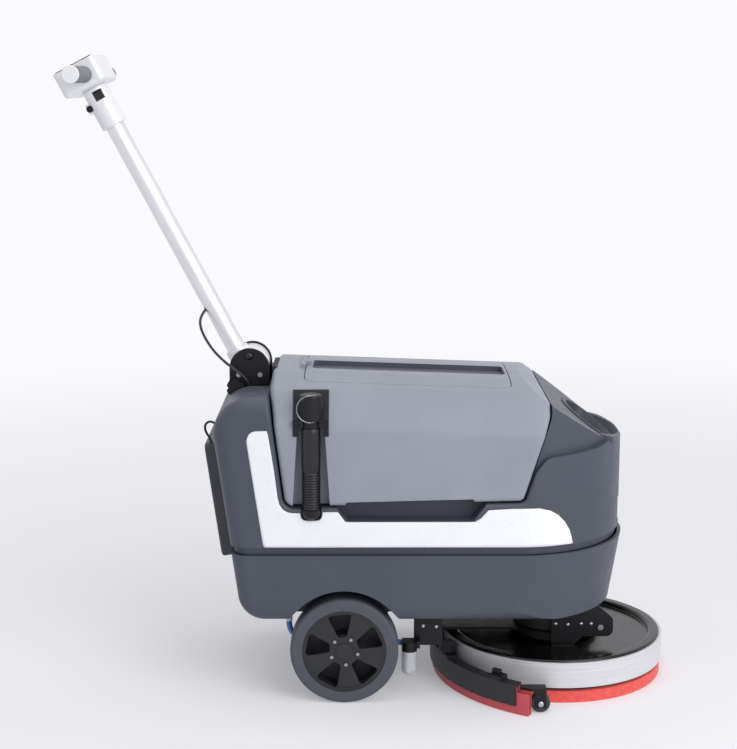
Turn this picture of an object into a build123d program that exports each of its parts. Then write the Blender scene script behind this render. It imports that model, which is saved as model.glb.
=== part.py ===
"""Walk-behind floor scrubber with a 380 mm pad, folding handle and lift-off recovery tank.

X points forward, Y to the machine's left and Z up.  The origin lies on the floor,
under the axis of the scrubbing pad.  All sizes are in millimetres.
"""
import os
from math import cos, radians, sin, tan

from build123d import *

# Fits shared by all pieces
run_gap = 0.05
seat_gap = 0.3
slip_gap = 0.2

# Scrubbing deck
pad_d = 380.0
pad_t = 20.0
pad_hole_d = 82.0
pad_recess = 12.0
driver_inset = 12.0
driver_t = 14.0
skirt_over = 2.0
skirt_t = 4.0
skirt_low = 27.0
skirt_h = 43.0
dish_t = 4.0
dish_floor = 66.0
bead_w = 20.0
bead_rise = 8.0
hub_d = 90.0
hub_t = 14.0
shaft_d = 22.0
gear_flange_d = 132.0
gear_flange_t = 6.0
gear_neck_d = 120.0
gear_neck_h = 12.0
gear_d = 136.0
motor_d = 108.0
motor_h = 96.0
bracket_half_w = 86.0
bracket_rear_x = -10.0
bracket_front_x = 96.0
bracket_t = 4.0

# Moulded base
base_half_w = 196.0
base_low = 142.0
base_h = 114.0
base_nose_x = 115.0
base_edge_r = 24.0
base_heel_r = 45.0
base_nose_lean = 9.5
nose_over = 0.5
base_wall = 6.0

# Moulded main body
body_half_w = 192.0
body_nose_x = 110.0
body_rear_top = 515.0
body_wall = 6.0
rear_foot_x = -535.2
rear_lean = 8.0
rear_corner_r = 28.0
shoulder_r = 60.0
groove_h = 12.0
groove_depth = 5.0
cowl_slope = 35.3
cowl_nose_z = 405.0
cowl_nose_r = 20.0
cowl_inset = 12.0
crease_z = 418.0
crease_nose_z = 448.0
body_edge_r = 6.0
filler_w = 168.0
filler_len = 96.0
filler_x = 53.0
flange_w = 5.0
lip_rear_x = 62.0
lip_front_z = 427.0
lip_half_w = 95.0
lip_edge_r = 4.0
strainer_depth = 28.0
strainer_t = 2.5
strainer_taper = 15.0
pocket_len = 208.0
pocket_x = -257.0
pocket_low = 314.0
pocket_depth = 34.0
pocket_h = 48.0
pocket_flare = 36.0
nose_recess_w = 190.0
nose_recess_low = 272.0
nose_recess_h = 46.0
nose_recess_depth = 7.0

# Recovery tank
tank_foot_rear_x = -460.5
tank_foot_front_x = -72.0
tank_low_rear = 337.0
tank_low_front = 347.0
tank_rear_lean = 7.5
tank_front_lean = 17.7
tank_knee_z = 483.0
tank_gap = 3.0
seat_rib_margin = 60.0
seat_rib_w = 30.0
tank_foot_r = 18.0
tank_wall = 4.0
tank_tilt = 2.0
tank_mid_x = -274.0
tank_crease_z = 466.0
tank_eave_inset = 34.0
tank_eave_z = 524.5
tank_lip_inset = 124.0
tank_lip_z = 535.0
tank_crown_z = 536.5
undercut_rise = 6.0
tank_edge_r = 8.0
gasket_w = 90.0
gasket_rise = 1.0
gasket_h = 18.0
gasket_t = 8.0

# Tank lid
lid_rear_x = -433.0
lid_len = 343.0
lid_inset = 68.0
lid_corner_r = 20.0
lid_t = 4.5
lid_gap = 1.5
lid_seal_t = 1.5
lid_ledge = 14.0
lid_end_ledge = 4.0
trough_half_w = 40.0
lid_tab_half_w = 16.0
trough_depth = 10.0
trough_wall = 2.0
trough_front_margin = 4.0
trough_rear_margin = 10.0
trough_corner_r = 8.0
lid_pin_d = 5.0
lid_knuckle_d = 9.0
lid_knuckle_w = 47.0
lid_pin_len = 82.0

# Drain hose on the tank's right side
hose_x = -418.0
hose_proud = 2.0
hose_d = 31.0
hose_bore_d = 24.0
hose_top = 470.0
hose_cuff_h = 74.0
hose_rib_pitch = 4.4
hose_rib_count = 14
hose_rib_depth = 1.6
spigot_set_in = 32.0
channel_half_w = 22.0
channel_foot_half_w = 32.0
cap_plug_h = 14.0
clip_t = 3.0
cap_d = 37.0
cap_h = 42.0
clip_w = 58.0
clip_low = 456.0
clip_high = 527.0

# Wheels
wheel_d = 180.0
wheel_w = 46.0
wheel_gauge = 382.0
axle_x = -365.0
axle_d = 20.0
tyre_t = 20.0
rim_wall = 6.0
rim_web_t = 5.0
rim_inset = 3.0
rim_hub_d = 52.0
bush_d = 28.0
arch_gap = 16.0
window_outer_r = 63.0
window_inner_r = 24.0
window_outer_w = 42.0
window_inner_w = 14.0
wheel_bolt_pcd = 46.0
wheel_bolt_r = 3.0
wheel_bolt_h = 3.0
window_count = 5
wheel_turn = 7.0
axle_cover_t = 2.7
tyre_edge_r = 6.0

# Handle
pivot_x = -527.0
pivot_z = 541.0
handle_lean = 27.7
column_set_back = 9.0
column_d = 32.0
column_wall = 2.5
column_low = 12.0
neck_low = 464.0
neck_h = 70.0
neck_d = 44.0
head_half_w = 70.0
head_back = 41.0
head_front = 34.0
head_h = 44.0
grip_len = 122.0
grip_d = 27.0
grip_a = 6.0
grip_t = 22.0
knuckle_d = 62.0
knuckle_half_w = 36.0
hinge_plate_t = 6.0
hinge_plate_r = 34.0
hinge_floor = 488.0
hinge_pin_d = 14.0
hinge_pocket_half_w = 66.0
knob_x = -550.0
knob_z = 509.5
knob_d = 31.0
knob_t = 14.0
stud_d = 8.0
hinge_bolt_pcd = 42.0
hinge_bolt_r = 4.5
bolt_r = 5.5
bolt_h = 4.5
socket_d = 40.0
socket_grip = 24.0
clamp_rise = 42.0
clamp_ear = 5.0
clamp_ear_w = 22.0
clamp_bolt_r = 3.0
clamp_head_r = 5.5
grip_wall = 4.5
cap_end = 4.0
panel_t = 2.0
button_d = 14.0
button_pitch = 30.0
button_a = -16.0
button_foot = 6.0
button_rise = 3.0

# Squeegee
blade_clear = 17.5
blade_r = 284.5
blade_t = 3.5
blade_half_angle = 61.0
blade_low = 0.6
blade_high = 47.0
blade_end_high = 37.0
holder_half_angle = 56.5
holder_low = 15.0
holder_wall = 3.8
holder_top_t = 4.0
holder_w = 20.0
swivel_arm_t = 5.0
end_wheel_d = 32.0
end_wheel_w = 16.0
end_wheel_inset = 17.5
end_wheel_angle = 62.4
fork_t = 2.5
fork_high = 42.0
fork_pin_r = 3.0
port_r = 15.0
port_throat_r = 7.0
port_place = (-470.0, 60.0)
ring_w = 18.0
arm_half_w = 45.0
squeegee_knob_angle = 19.8
squeegee_knob_d = 32.0
clip_angle = 48.4

# Rear charger box
charger_w = 220.0
charger_h = 198.0
charger_t = 25.0
charger_mid_z = 329.0

# Solution line
filter_x = -256.0
filter_y = -150.0
bowl_d = 26.0
bowl_low = 38.0
bowl_h = 40.0
fitting_place = (-460.0, -112.0)
fitting_low = 118.0

# Battery
battery_rear_x = -320.0
battery_len = 210.0
battery_w = 200.0
battery_h = 102.0

# Derived places
skirt_d = pad_d + 2 * skirt_over
driver_d = pad_d - 2 * driver_inset
tank_eave_half_w = body_half_w - tank_eave_inset
tank_lip_half_w = body_half_w - tank_lip_inset
lid_half_w = body_half_w - lid_inset
base_top = base_low + base_h
groove_top = base_top + groove_h
sky = 640.0
skirt_high = skirt_low + skirt_h
wheel_r = wheel_d / 2
axle_z = wheel_r
hose_y = hose_proud - body_half_w
spigot_y = hose_y + spigot_set_in
clamp_t = neck_low + clamp_rise
blade_centre_x = blade_r - skirt_d / 2 - blade_clear

os.makedirs("parts", exist_ok=True)


def save(piece, name):
    """Label a finished piece and write it as a STEP file of that name."""
    piece.part.label = name
    export_step(piece.part, f"parts/{name}.step")


def rear_x(z):
    """Return the rear wall's X at a height."""
    return rear_foot_x - (z - base_low) * tan(radians(rear_lean))


def flank_edges(piece):
    """Return the rear and lower edges on both flanks of a base shape that is still open ahead."""
    edges = piece.edges().filter_by(Axis.Y, reverse=True)
    return edges.filter_by_position(Axis.X, -2 * sky, sky - 10.0).filter_by_position(Axis.Z, 0, sky - 10.0)


def cowl_x(z):
    """Return the X of the sloping cowl at a height."""
    return body_nose_x - (z - cowl_nose_z) / tan(radians(cowl_slope))


def cowl_z(x):
    """Return the height of the sloping cowl at an X."""
    return cowl_nose_z + (body_nose_x - x) * tan(radians(cowl_slope))


def side_face(points, radii, grow=0.0):
    """Return a face in the XZ plane from corner points and corner radii, grown all round."""
    with BuildSketch(Plane.XZ) as outline:
        with BuildLine():
            FilletPolyline(*points, radius=radii, close=True)
        make_face()
        if grow:
            offset(amount=grow, kind=Kind.INTERSECTION)
    return outline.sketch


def rear_plan(half_w, inset=0.0):
    """Return the plan face on the floor that rounds the leaning rear corners."""
    back = rear_x(0.0) + inset / cos(radians(rear_lean))
    side = half_w - inset
    with BuildSketch(Plane.XY) as plan:
        with BuildLine():
            FilletPolyline(
                (back, -side), (sky, -side), (sky, side), (back, side),
                radius=[rear_corner_r - inset, 0.0, 0.0, rear_corner_r - inset],
                close=True,
            )
        make_face()
    return plan.sketch


def nose_plan(half_w, nose_x, inset=0.0):
    """Return the plan face on the floor that rounds the nose into a half circle."""
    side = half_w - inset
    front = nose_x - inset
    with BuildSketch(Plane.XY) as plan:
        with BuildLine():
            FilletPolyline(
                (-2 * sky, -side), (front, -side), (front, side), (-2 * sky, side),
                radius=[0.0, side - 1.0, side - 1.0, 0.0],
                close=True,
            )
        make_face()
    return plan.sketch


def slab(face, y_from, y_to, mode=Mode.ADD):
    """Extrude a face of the XZ plane between two values of Y."""
    extrude(Pos(0, y_from, 0) * face, amount=y_from - y_to, mode=mode)


def block(x, y, z, mode=Mode.ADD):
    """Add a box that spans (low, high) pairs along the three axes."""
    with Locations(((x[0] + x[1]) / 2, (y[0] + y[1]) / 2, (z[0] + z[1]) / 2)):
        Box(x[1] - x[0], y[1] - y[0], z[1] - z[0], mode=mode)


def disc(x, y, z, r, mode=Mode.ADD):
    """Add an upright cylinder that spans the (low, high) pair z."""
    with Locations((x, y, (z[0] + z[1]) / 2)):
        Cylinder(r, z[1] - z[0], mode=mode)


def bar(x, z, y, r, mode=Mode.ADD):
    """Add a cylinder along Y that spans the (low, high) pair y."""
    with Locations(Location((x, (y[0] + y[1]) / 2, z), (90, 0, 0))):
        Cylinder(r, y[1] - y[0], mode=mode)


# Side outline of the recovery tank, open to the sky
knee_x = tank_foot_front_x + (tank_knee_z - tank_low_front) * tan(radians(tank_front_lean))
tank_outline = [
    (tank_foot_rear_x - (sky - tank_low_rear) * tan(radians(tank_rear_lean)), sky),
    (tank_foot_rear_x, tank_low_rear),
    (tank_foot_front_x, tank_low_front),
    (knee_x, tank_knee_z),
    (knee_x, cowl_z(knee_x)),
    (cowl_x(sky), sky),
]
tank_corner_r = [0.0, tank_foot_r, 10.0, 40.0, 0.0, 0.0]


def tank_rear_x(z):
    """Return the X of the tank's leaning rear wall at a height."""
    return tank_foot_rear_x - (z - tank_low_rear) * tan(radians(tank_rear_lean))


def tank_floor_z(x):
    """Return the height of the tank's sloping underside at an X."""
    run = (x - tank_foot_rear_x) / (tank_foot_front_x - tank_foot_rear_x)
    return tank_low_rear + run * (tank_low_front - tank_low_rear)


# The tank's cross section is carried along an axis that dips towards the front
tilt_plane = Plane(
    origin=(tank_mid_x, 0, 0),
    x_dir=(0, 1, 0),
    z_dir=(cos(radians(tank_tilt)), 0, -sin(radians(tank_tilt))),
)
lid_plane = Plane(
    origin=(tank_mid_x, 0, tank_crease_z),
    x_dir=(cos(radians(tank_tilt)), 0, -sin(radians(tank_tilt))),
    z_dir=(sin(radians(tank_tilt)), 0, cos(radians(tank_tilt))),
)


def tank_section(grow=0.0):
    """Return the tank's cross section: upright sides, leaning flanks and a low crown."""
    half = [
        (body_half_w, 0.0),
        (body_half_w, tank_crease_z),
        (tank_eave_half_w, tank_eave_z),
        (tank_lip_half_w, tank_lip_z),
    ]
    crown = (0.0, tank_crown_z)
    points = half + [crown] + [(-y, z) for y, z in reversed(half)]
    radii = [0.0, 30.0, 16.0, 40.0, 400.0, 40.0, 16.0, 30.0, 0.0]
    with BuildSketch(tilt_plane) as section:
        with BuildLine():
            FilletPolyline(*points, radius=radii, close=True)
        make_face()
        if grow:
            offset(amount=grow, kind=Kind.INTERSECTION)
    return section.sketch


def lid_face(grow_x, grow_y):
    """Return the lid's plan face, grown along X and Y, on the tilted plan plane."""
    with BuildSketch(lid_plane) as plan:
        with Locations((lid_rear_x - tank_mid_x + lid_len / 2, 0)):
            RectangleRounded(lid_len + 2 * grow_x, 2 * (lid_half_w + grow_y), lid_corner_r + grow_y)
    return plan.sketch


def trough_face(inset=0.0):
    """Return the plan face of the lid's tray on the tilted plan plane."""
    length = lid_len - trough_front_margin - trough_rear_margin
    middle = lid_rear_x - tank_mid_x + trough_rear_margin + length / 2
    with BuildSketch(lid_plane) as plan:
        with Locations((middle, 0)):
            RectangleRounded(length - 2 * inset, 2 * (trough_half_w - inset), trough_corner_r - inset)
    return plan.sketch


# Main body: hull, cradle for the tank, inset cowl, water space and openings
hull_outline = [
    (rear_x(groove_top), groove_top),
    (rear_x(body_rear_top), body_rear_top),
    (cowl_x(body_rear_top), body_rear_top),
    (body_nose_x, cowl_nose_z),
    (body_nose_x, groove_top),
]
hull_corner_r = [0.0, shoulder_r, 0.0, cowl_nose_r, 0.0]

base_outline = [(rear_x(base_low), base_low), (rear_x(sky), sky), (sky, sky), (sky, base_low)]
base_corner_r = [base_heel_r, 0.0, 0.0, 0.0]
nose_dir = (tan(radians(base_nose_lean)), 0, 1)
nose_len = sky / cos(radians(base_nose_lean))
base_nose_foot = base_nose_x - base_top * tan(radians(base_nose_lean))

crease_outline = [
    (tank_foot_front_x + 4.0, tank_low_front),
    (knee_x - 22.0, crease_z - 22.0),
    (knee_x - 4.0, crease_z),
    (body_nose_x - 50.0, crease_z + 6.0),
    (body_nose_x + 20.0, crease_nose_z),
    (body_nose_x + 20.0, sky),
    (tank_foot_front_x + 4.0, sky),
]
crease_r = [0.0, 20.0, 20.0, 60.0, 0.0, 0.0, 0.0]

pocket_rear_x = pocket_x - pocket_len / 2
pocket_front_x = pocket_x + pocket_len / 2
pocket_outline = [
    (pocket_rear_x - pocket_flare, pocket_low + pocket_h),
    (pocket_rear_x, pocket_low),
    (pocket_front_x, pocket_low),
    (pocket_front_x + pocket_flare, pocket_low + pocket_h),
]
pocket_corner_r = [0.0, 8.0, 8.0, 0.0]
pocket_y = body_half_w - pocket_depth

hinge_pocket_front_x = pivot_x + hinge_plate_r + 1.0
elbow_low = pocket_low + 2.0
elbow_notch = (hose_x - hose_d / 2 - 1.0, hose_x + hose_d / 2 + 1.0)
elbow_notch_y = spigot_y + hose_d / 2
elbow_notch_r = 9.0
elbow_notch_outline = [
    (elbow_notch[0], elbow_low), (elbow_notch[1], elbow_low),
    (elbow_notch[1], tank_crease_z - 40.0), (elbow_notch[0], tank_crease_z - 40.0),
]

lean_dir = (-tan(radians(rear_lean)), 0, 1)
lean_len = sky / cos(radians(rear_lean))

filler_plane = Plane(
    origin=(filler_x, 0, cowl_z(filler_x)),
    x_dir=(0, 1, 0),
    z_dir=(sin(radians(cowl_slope)), 0, cos(radians(cowl_slope))),
)

flange_len = filler_len + 2 * flange_w
lip_outline = [
    (lip_rear_x, cowl_nose_z - 10.0),
    (lip_rear_x, cowl_z(lip_rear_x)),
    (body_nose_x, lip_front_z),
    (body_nose_x, cowl_nose_z - 10.0),
]
lip_corner_r = [0.0, 0.0, 8.0, 0.0]

with BuildPart() as filler_lip:
    extrude(side_face(lip_outline, lip_corner_r), amount=lip_half_w, both=True)
    extrude(nose_plan(body_half_w, body_nose_x), amount=sky, mode=Mode.INTERSECT)
    fillet(filler_lip.edges().filter_by(GeomType.LINE).filter_by(Axis.Z), radius=lip_edge_r)
    with BuildSketch(filler_plane):
        Ellipse(filler_w / 2 + flange_w + 1.0, flange_len / 2 + 1.0)
    extrude(amount=sky, mode=Mode.SUBTRACT)

with BuildPart() as cowl_trim:
    extrude(side_face(crease_outline, crease_r), amount=2 * body_half_w, both=True)
    extrude(nose_plan(body_half_w, body_nose_x, cowl_inset), amount=sky, mode=Mode.SUBTRACT)

with BuildPart() as flank_trim:
    block((knee_x - 20.0, sky), (-sky, sky), (crease_z, sky))
    extrude(tank_section(), amount=2 * sky, both=True, mode=Mode.SUBTRACT)

with BuildPart() as water_space:
    extrude(side_face(hull_outline, hull_corner_r, -body_wall), amount=body_half_w - body_wall, both=True)
    extrude(rear_plan(body_half_w, body_wall), amount=lean_len, dir=lean_dir, mode=Mode.INTERSECT)
    extrude(nose_plan(body_half_w, body_nose_x, body_wall + cowl_inset), amount=sky, mode=Mode.INTERSECT)
    extrude(tank_section(-body_wall), amount=2 * sky, both=True, mode=Mode.INTERSECT)
    cradle = side_face(tank_outline, tank_corner_r, tank_gap + body_wall)
    extrude(cradle, amount=2 * body_half_w, both=True, mode=Mode.SUBTRACT)
    block(
        (-2 * sky, hinge_pocket_front_x + body_wall),
        (-hinge_pocket_half_w - body_wall, hinge_pocket_half_w + body_wall),
        (hinge_floor - body_wall, sky),
        mode=Mode.SUBTRACT,
    )
    thick_pocket = side_face(pocket_outline, pocket_corner_r, body_wall)
    for side in (-1, 1):
        slab(thick_pocket, side * (pocket_y - body_wall), side * body_half_w, mode=Mode.SUBTRACT)
    block(
        (elbow_notch[0] - body_wall, elbow_notch[1] + body_wall),
        (-body_half_w, elbow_notch_y + body_wall),
        (elbow_low - body_wall, sky),
        mode=Mode.SUBTRACT,
    )

with BuildPart() as waist:
    block((-2 * sky, sky), (-sky, sky), (base_top, groove_top))
    extrude(rear_plan(body_half_w, groove_depth), amount=lean_len, dir=lean_dir, mode=Mode.INTERSECT)
    extrude(nose_plan(body_half_w, body_nose_x, groove_depth), amount=sky, mode=Mode.INTERSECT)

with BuildPart() as seat_ribs:
    for x in (tank_foot_rear_x + seat_rib_margin, tank_foot_front_x - seat_rib_margin - seat_rib_w):
        rib_z = (tank_low_rear - tank_gap, tank_low_front)
        block((x, x + seat_rib_w), (-pocket_y + 20.0, pocket_y - 20.0), rib_z)
    tank_foot = side_face(tank_outline, tank_corner_r, seat_gap)
    extrude(tank_foot, amount=2 * body_half_w, both=True, mode=Mode.SUBTRACT)

with BuildPart() as main_body:
    extrude(side_face(hull_outline, hull_corner_r), amount=body_half_w, both=True)
    back_edges = main_body.edges().filter_by_position(Axis.X, -sky, tank_mid_x)
    back_edges = back_edges.filter_by_position(Axis.Z, groove_top + 1, sky)
    back_edges = back_edges.filter_by(Axis.Y, reverse=True)
    fillet(back_edges, radius=rear_corner_r)
    extrude(nose_plan(body_half_w, body_nose_x), amount=sky, mode=Mode.INTERSECT)
    cradle = side_face(tank_outline, tank_corner_r, tank_gap)
    extrude(cradle, amount=2 * body_half_w, both=True, mode=Mode.SUBTRACT)
    rim_edges = main_body.edges().filter_by_position(Axis.X, tank_foot_rear_x - 60, knee_x - 4)
    rim_edges = rim_edges.filter_by_position(Axis.Z, tank_low_rear - 6, body_rear_top - 30)
    rim_edges = rim_edges.filter_by(Axis.Y, reverse=True)
    fillet(rim_edges, radius=body_edge_r)
    add(seat_ribs.part)
    add(cowl_trim.part, mode=Mode.SUBTRACT)
    add(flank_trim.part, mode=Mode.SUBTRACT)
    for side in (-1, 1):
        finger_pocket = side_face(pocket_outline, pocket_corner_r)
        slab(finger_pocket, side * pocket_y, side * (body_half_w + 1.0), mode=Mode.SUBTRACT)
    elbow_notch_face = side_face(elbow_notch_outline, [elbow_notch_r, elbow_notch_r, 0.0, 0.0])
    slab(elbow_notch_face, -body_half_w - 1.0, elbow_notch_y, mode=Mode.SUBTRACT)
    block(
        (-2 * sky, hinge_pocket_front_x),
        (-hinge_pocket_half_w, hinge_pocket_half_w),
        (hinge_floor, sky),
        mode=Mode.SUBTRACT,
    )
    add(waist.part)
    add(filler_lip.part)
    with BuildSketch(Plane.YZ.offset(body_nose_x - nose_recess_depth)):
        with Locations((0, nose_recess_low + nose_recess_h / 2)):
            RectangleRounded(nose_recess_w, nose_recess_h, 12.0)
    extrude(amount=sky, mode=Mode.SUBTRACT)
    add(water_space.part, mode=Mode.SUBTRACT)
    with BuildSketch(filler_plane):
        Ellipse(filler_w / 2, filler_len / 2)
    extrude(amount=-body_wall - 12.0, mode=Mode.SUBTRACT)
save(main_body, "main_body")

shrink = strainer_depth * tan(radians(strainer_taper))
with BuildPart() as filler_strainer:
    with BuildSketch(filler_plane):
        Ellipse(filler_w / 2 + flange_w, flange_len / 2)
    extrude(amount=strainer_t)
    for skin, mode in ((slip_gap, Mode.ADD), (slip_gap + strainer_t, Mode.SUBTRACT)):
        rise = skin - slip_gap
        with BuildSketch(filler_plane.offset(rise)):
            Ellipse(filler_w / 2 - skin, filler_len / 2 - skin)
        with BuildSketch(filler_plane.offset(rise - strainer_depth)):
            Ellipse(filler_w / 2 - skin - shrink, filler_len / 2 - skin - shrink)
        loft(mode=mode)
    with BuildSketch(filler_plane):
        with GridLocations(18.0, 14.0, 6, 4):
            Circle(3.0)
    extrude(amount=-2 * strainer_depth, mode=Mode.SUBTRACT)
save(filler_strainer, "filler_strainer")

# Moulded base tray with wheel wells and the hole for the brush motor
wheel_inner_y = wheel_gauge / 2 - wheel_w
well_y = wheel_inner_y - 7.0

with BuildPart() as tray_space:
    extrude(side_face(base_outline, base_corner_r, -base_wall), amount=base_half_w - base_wall, both=True)
    fillet(flank_edges(tray_space), radius=base_edge_r - base_wall)
    inner_nose = nose_plan(base_half_w + nose_over, base_nose_foot, base_wall)
    extrude(inner_nose, amount=nose_len, dir=nose_dir, mode=Mode.INTERSECT)
    for side in (-1, 1):
        well = sorted((side * (well_y - base_wall), side * sky))
        bar(axle_x, axle_z, well, wheel_r + arch_gap + base_wall, mode=Mode.SUBTRACT)

with BuildPart() as lower_chassis:
    extrude(side_face(base_outline, base_corner_r), amount=base_half_w, both=True)
    fillet(flank_edges(lower_chassis), radius=base_edge_r)
    outer_nose = nose_plan(base_half_w + nose_over, base_nose_foot)
    extrude(outer_nose, amount=nose_len, dir=nose_dir, mode=Mode.INTERSECT)
    block((-2 * sky, sky), (-sky, sky), (base_top, 2 * sky), mode=Mode.SUBTRACT)
    add(tray_space.part, mode=Mode.SUBTRACT)
    for side in (-1, 1):
        well = sorted((side * well_y, side * sky))
        bar(axle_x, axle_z, well, wheel_r + arch_gap, mode=Mode.SUBTRACT)
    disc(0, 0, (base_low - 1, base_low + base_wall + 1), gear_d / 2 + 4.0, mode=Mode.SUBTRACT)
    disc(*port_place, (base_low - 22.0, base_low + 1.0), port_r + 4.0)
    disc(*port_place, (base_low - 23.0, base_low + base_wall + 1.0), port_r, mode=Mode.SUBTRACT)
save(lower_chassis, "lower_chassis")

# Recovery tank: shell with a lid pocket, a hose channel and finger undercuts
lid_drop = lid_t + lid_seal_t + seat_gap
channel_y = hose_y + cap_d / 2 + seat_gap
channel_outline = [
    (hose_x - channel_half_w, sky),
    (hose_x - channel_half_w, hose_top),
    (hose_x - channel_foot_half_w, tank_low_rear - 20.0),
    (hose_x + channel_foot_half_w, tank_low_rear - 20.0),
    (hose_x + channel_half_w, hose_top),
    (hose_x + channel_half_w, sky),
]
channel_corner_r = [0.0, 30.0, 0.0, 0.0, 30.0, 0.0]
undercut_outline = [
    (pocket_rear_x - 8.0, tank_low_rear - 20.0),
    (pocket_rear_x, tank_floor_z(pocket_rear_x) + undercut_rise),
    (pocket_front_x, tank_floor_z(pocket_front_x) + undercut_rise),
    (pocket_front_x + 8.0, tank_low_rear - 20.0),
]
undercut_corner_r = [0.0, 4.0, 4.0, 0.0]
spigot_r = hose_bore_d / 2 - 4.0

with BuildPart() as tank_space:
    extrude(side_face(tank_outline, tank_corner_r, -tank_wall), amount=body_half_w - tank_wall, both=True)
    extrude(Pos(0, 0, -lid_drop) * tank_section(-tank_wall), amount=sky, both=True, mode=Mode.INTERSECT)
    thick_channel = side_face(channel_outline, channel_corner_r, tank_wall)
    slab(thick_channel, -sky, channel_y + tank_wall, mode=Mode.SUBTRACT)
    thick_undercut = side_face(undercut_outline, undercut_corner_r, tank_wall)
    for side in (-1, 1):
        slab(thick_undercut, side * (pocket_y - tank_wall), side * body_half_w, mode=Mode.SUBTRACT)

with BuildPart() as lid_pocket:
    extrude(lid_face(lid_gap, lid_gap), amount=sky)
    extrude(tank_section(-lid_drop), amount=sky, both=True, mode=Mode.SUBTRACT)

lid_edge_x = lid_plane.from_local_coords((lid_rear_x - tank_mid_x, 0, tank_crown_z - tank_crease_z)).X
lid_pin_x = lid_edge_x - lid_knuckle_d / 2 - 0.5
lid_pin_z = tank_crown_z + (tank_mid_x - lid_pin_x) * tan(radians(tank_tilt)) + 2.0

with BuildPart() as recovery_tank:
    extrude(side_face(tank_outline, tank_corner_r), amount=body_half_w, both=True)
    extrude(tank_section(), amount=sky, both=True, mode=Mode.INTERSECT)
    rear_edges = recovery_tank.faces().sort_by(Axis.X)[0].edges().filter_by_position(Axis.Z, 400, sky)
    fillet(rear_edges, radius=tank_edge_r)
    add(tank_space.part, mode=Mode.SUBTRACT)
    add(lid_pocket.part, mode=Mode.SUBTRACT)
    extrude(lid_face(-lid_end_ledge, -lid_ledge), amount=sky, mode=Mode.SUBTRACT)
    channel = side_face(channel_outline, channel_corner_r)
    slab(channel, -sky, channel_y, mode=Mode.SUBTRACT)
    undercut = side_face(undercut_outline, undercut_corner_r)
    for side in (-1, 1):
        slab(undercut, side * pocket_y, side * (body_half_w + 1.0), mode=Mode.SUBTRACT)
    disc(hose_x, spigot_y, (tank_low_rear - 5, tank_low_rear + 10), spigot_r + seat_gap, mode=Mode.SUBTRACT)
    notch = lid_knuckle_d / 2 + seat_gap
    notch_y = (-lid_knuckle_w / 2 - seat_gap, lid_knuckle_w / 2 + seat_gap)
    block((lid_pin_x - notch, lid_edge_x), notch_y, (lid_pin_z - notch, sky), mode=Mode.SUBTRACT)
    for side in (-1, 1):
        ear = sorted((side * (lid_knuckle_w / 2 + 0.5), side * lid_pin_len / 2))
        bar(lid_pin_x, lid_pin_z, ear, lid_knuckle_d / 2)
        block((lid_pin_x - lid_knuckle_d / 2, lid_pin_x), ear, (lid_pin_z - 8.0, lid_pin_z))
    bar(lid_pin_x, lid_pin_z, (-lid_pin_len, lid_pin_len), lid_pin_d / 2 + run_gap, mode=Mode.SUBTRACT)
save(recovery_tank, "recovery_tank")

with BuildPart() as tank_lid:
    extrude(lid_face(0, 0), amount=sky)
    extrude(tank_section(), amount=sky, both=True, mode=Mode.INTERSECT)
    extrude(tank_section(-lid_t), amount=sky, both=True, mode=Mode.SUBTRACT)
    extrude(trough_face(), amount=sky, mode=Mode.SUBTRACT)
    bar(lid_pin_x, lid_pin_z, (-lid_knuckle_w / 2, lid_knuckle_w / 2), lid_knuckle_d / 2)
    tab = (lid_pin_z - 0.5, lid_pin_z + lid_knuckle_d / 2)
    block((lid_pin_x, lid_edge_x + 7.0), (-lid_tab_half_w, lid_tab_half_w), tab)
    block((lid_edge_x + 1.0, lid_edge_x + 7.0), (-lid_tab_half_w, lid_tab_half_w), (tab[0] - 4.0, tab[1]))
    bar(lid_pin_x, lid_pin_z, (-lid_pin_len / 2, lid_pin_len / 2), lid_pin_d / 2)
save(tank_lid, "tank_lid")

with BuildPart() as lid_seal:
    extrude(lid_face(-1.0, -1.0), amount=sky)
    extrude(tank_section(-lid_t), amount=sky, both=True, mode=Mode.INTERSECT)
    extrude(tank_section(-lid_t - lid_seal_t), amount=sky, both=True, mode=Mode.SUBTRACT)
    extrude(lid_face(-lid_end_ledge, -lid_ledge), amount=sky, mode=Mode.SUBTRACT)
save(lid_seal, "lid_seal")

with BuildPart() as trough_space:
    extrude(trough_face(slip_gap + trough_wall), amount=sky)
    extrude(tank_section(trough_wall - trough_depth), amount=sky, both=True, mode=Mode.SUBTRACT)

with BuildPart() as lid_troughs:
    extrude(trough_face(slip_gap), amount=sky)
    extrude(tank_section(), amount=sky, both=True, mode=Mode.INTERSECT)
    extrude(tank_section(-trough_depth), amount=sky, both=True, mode=Mode.SUBTRACT)
    add(trough_space.part, mode=Mode.SUBTRACT)
save(lid_troughs, "lid_troughs")

# Seal block where the suction duct meets the tank's upper rear edge
gasket_top = tank_crown_z + (tank_mid_x - tank_rear_x(tank_crown_z)) * tan(radians(tank_tilt))
gasket_top += gasket_rise
with BuildPart() as vacuum_gasket:
    gasket_x = (tank_rear_x(gasket_top), tank_rear_x(gasket_top) + gasket_t)
    block(gasket_x, (-gasket_w / 2, gasket_w / 2), (gasket_top - gasket_h, gasket_top))
    add(recovery_tank.part, mode=Mode.SUBTRACT)
    add(tank_space.part, mode=Mode.SUBTRACT)
save(vacuum_gasket, "vacuum_gasket")

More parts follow.
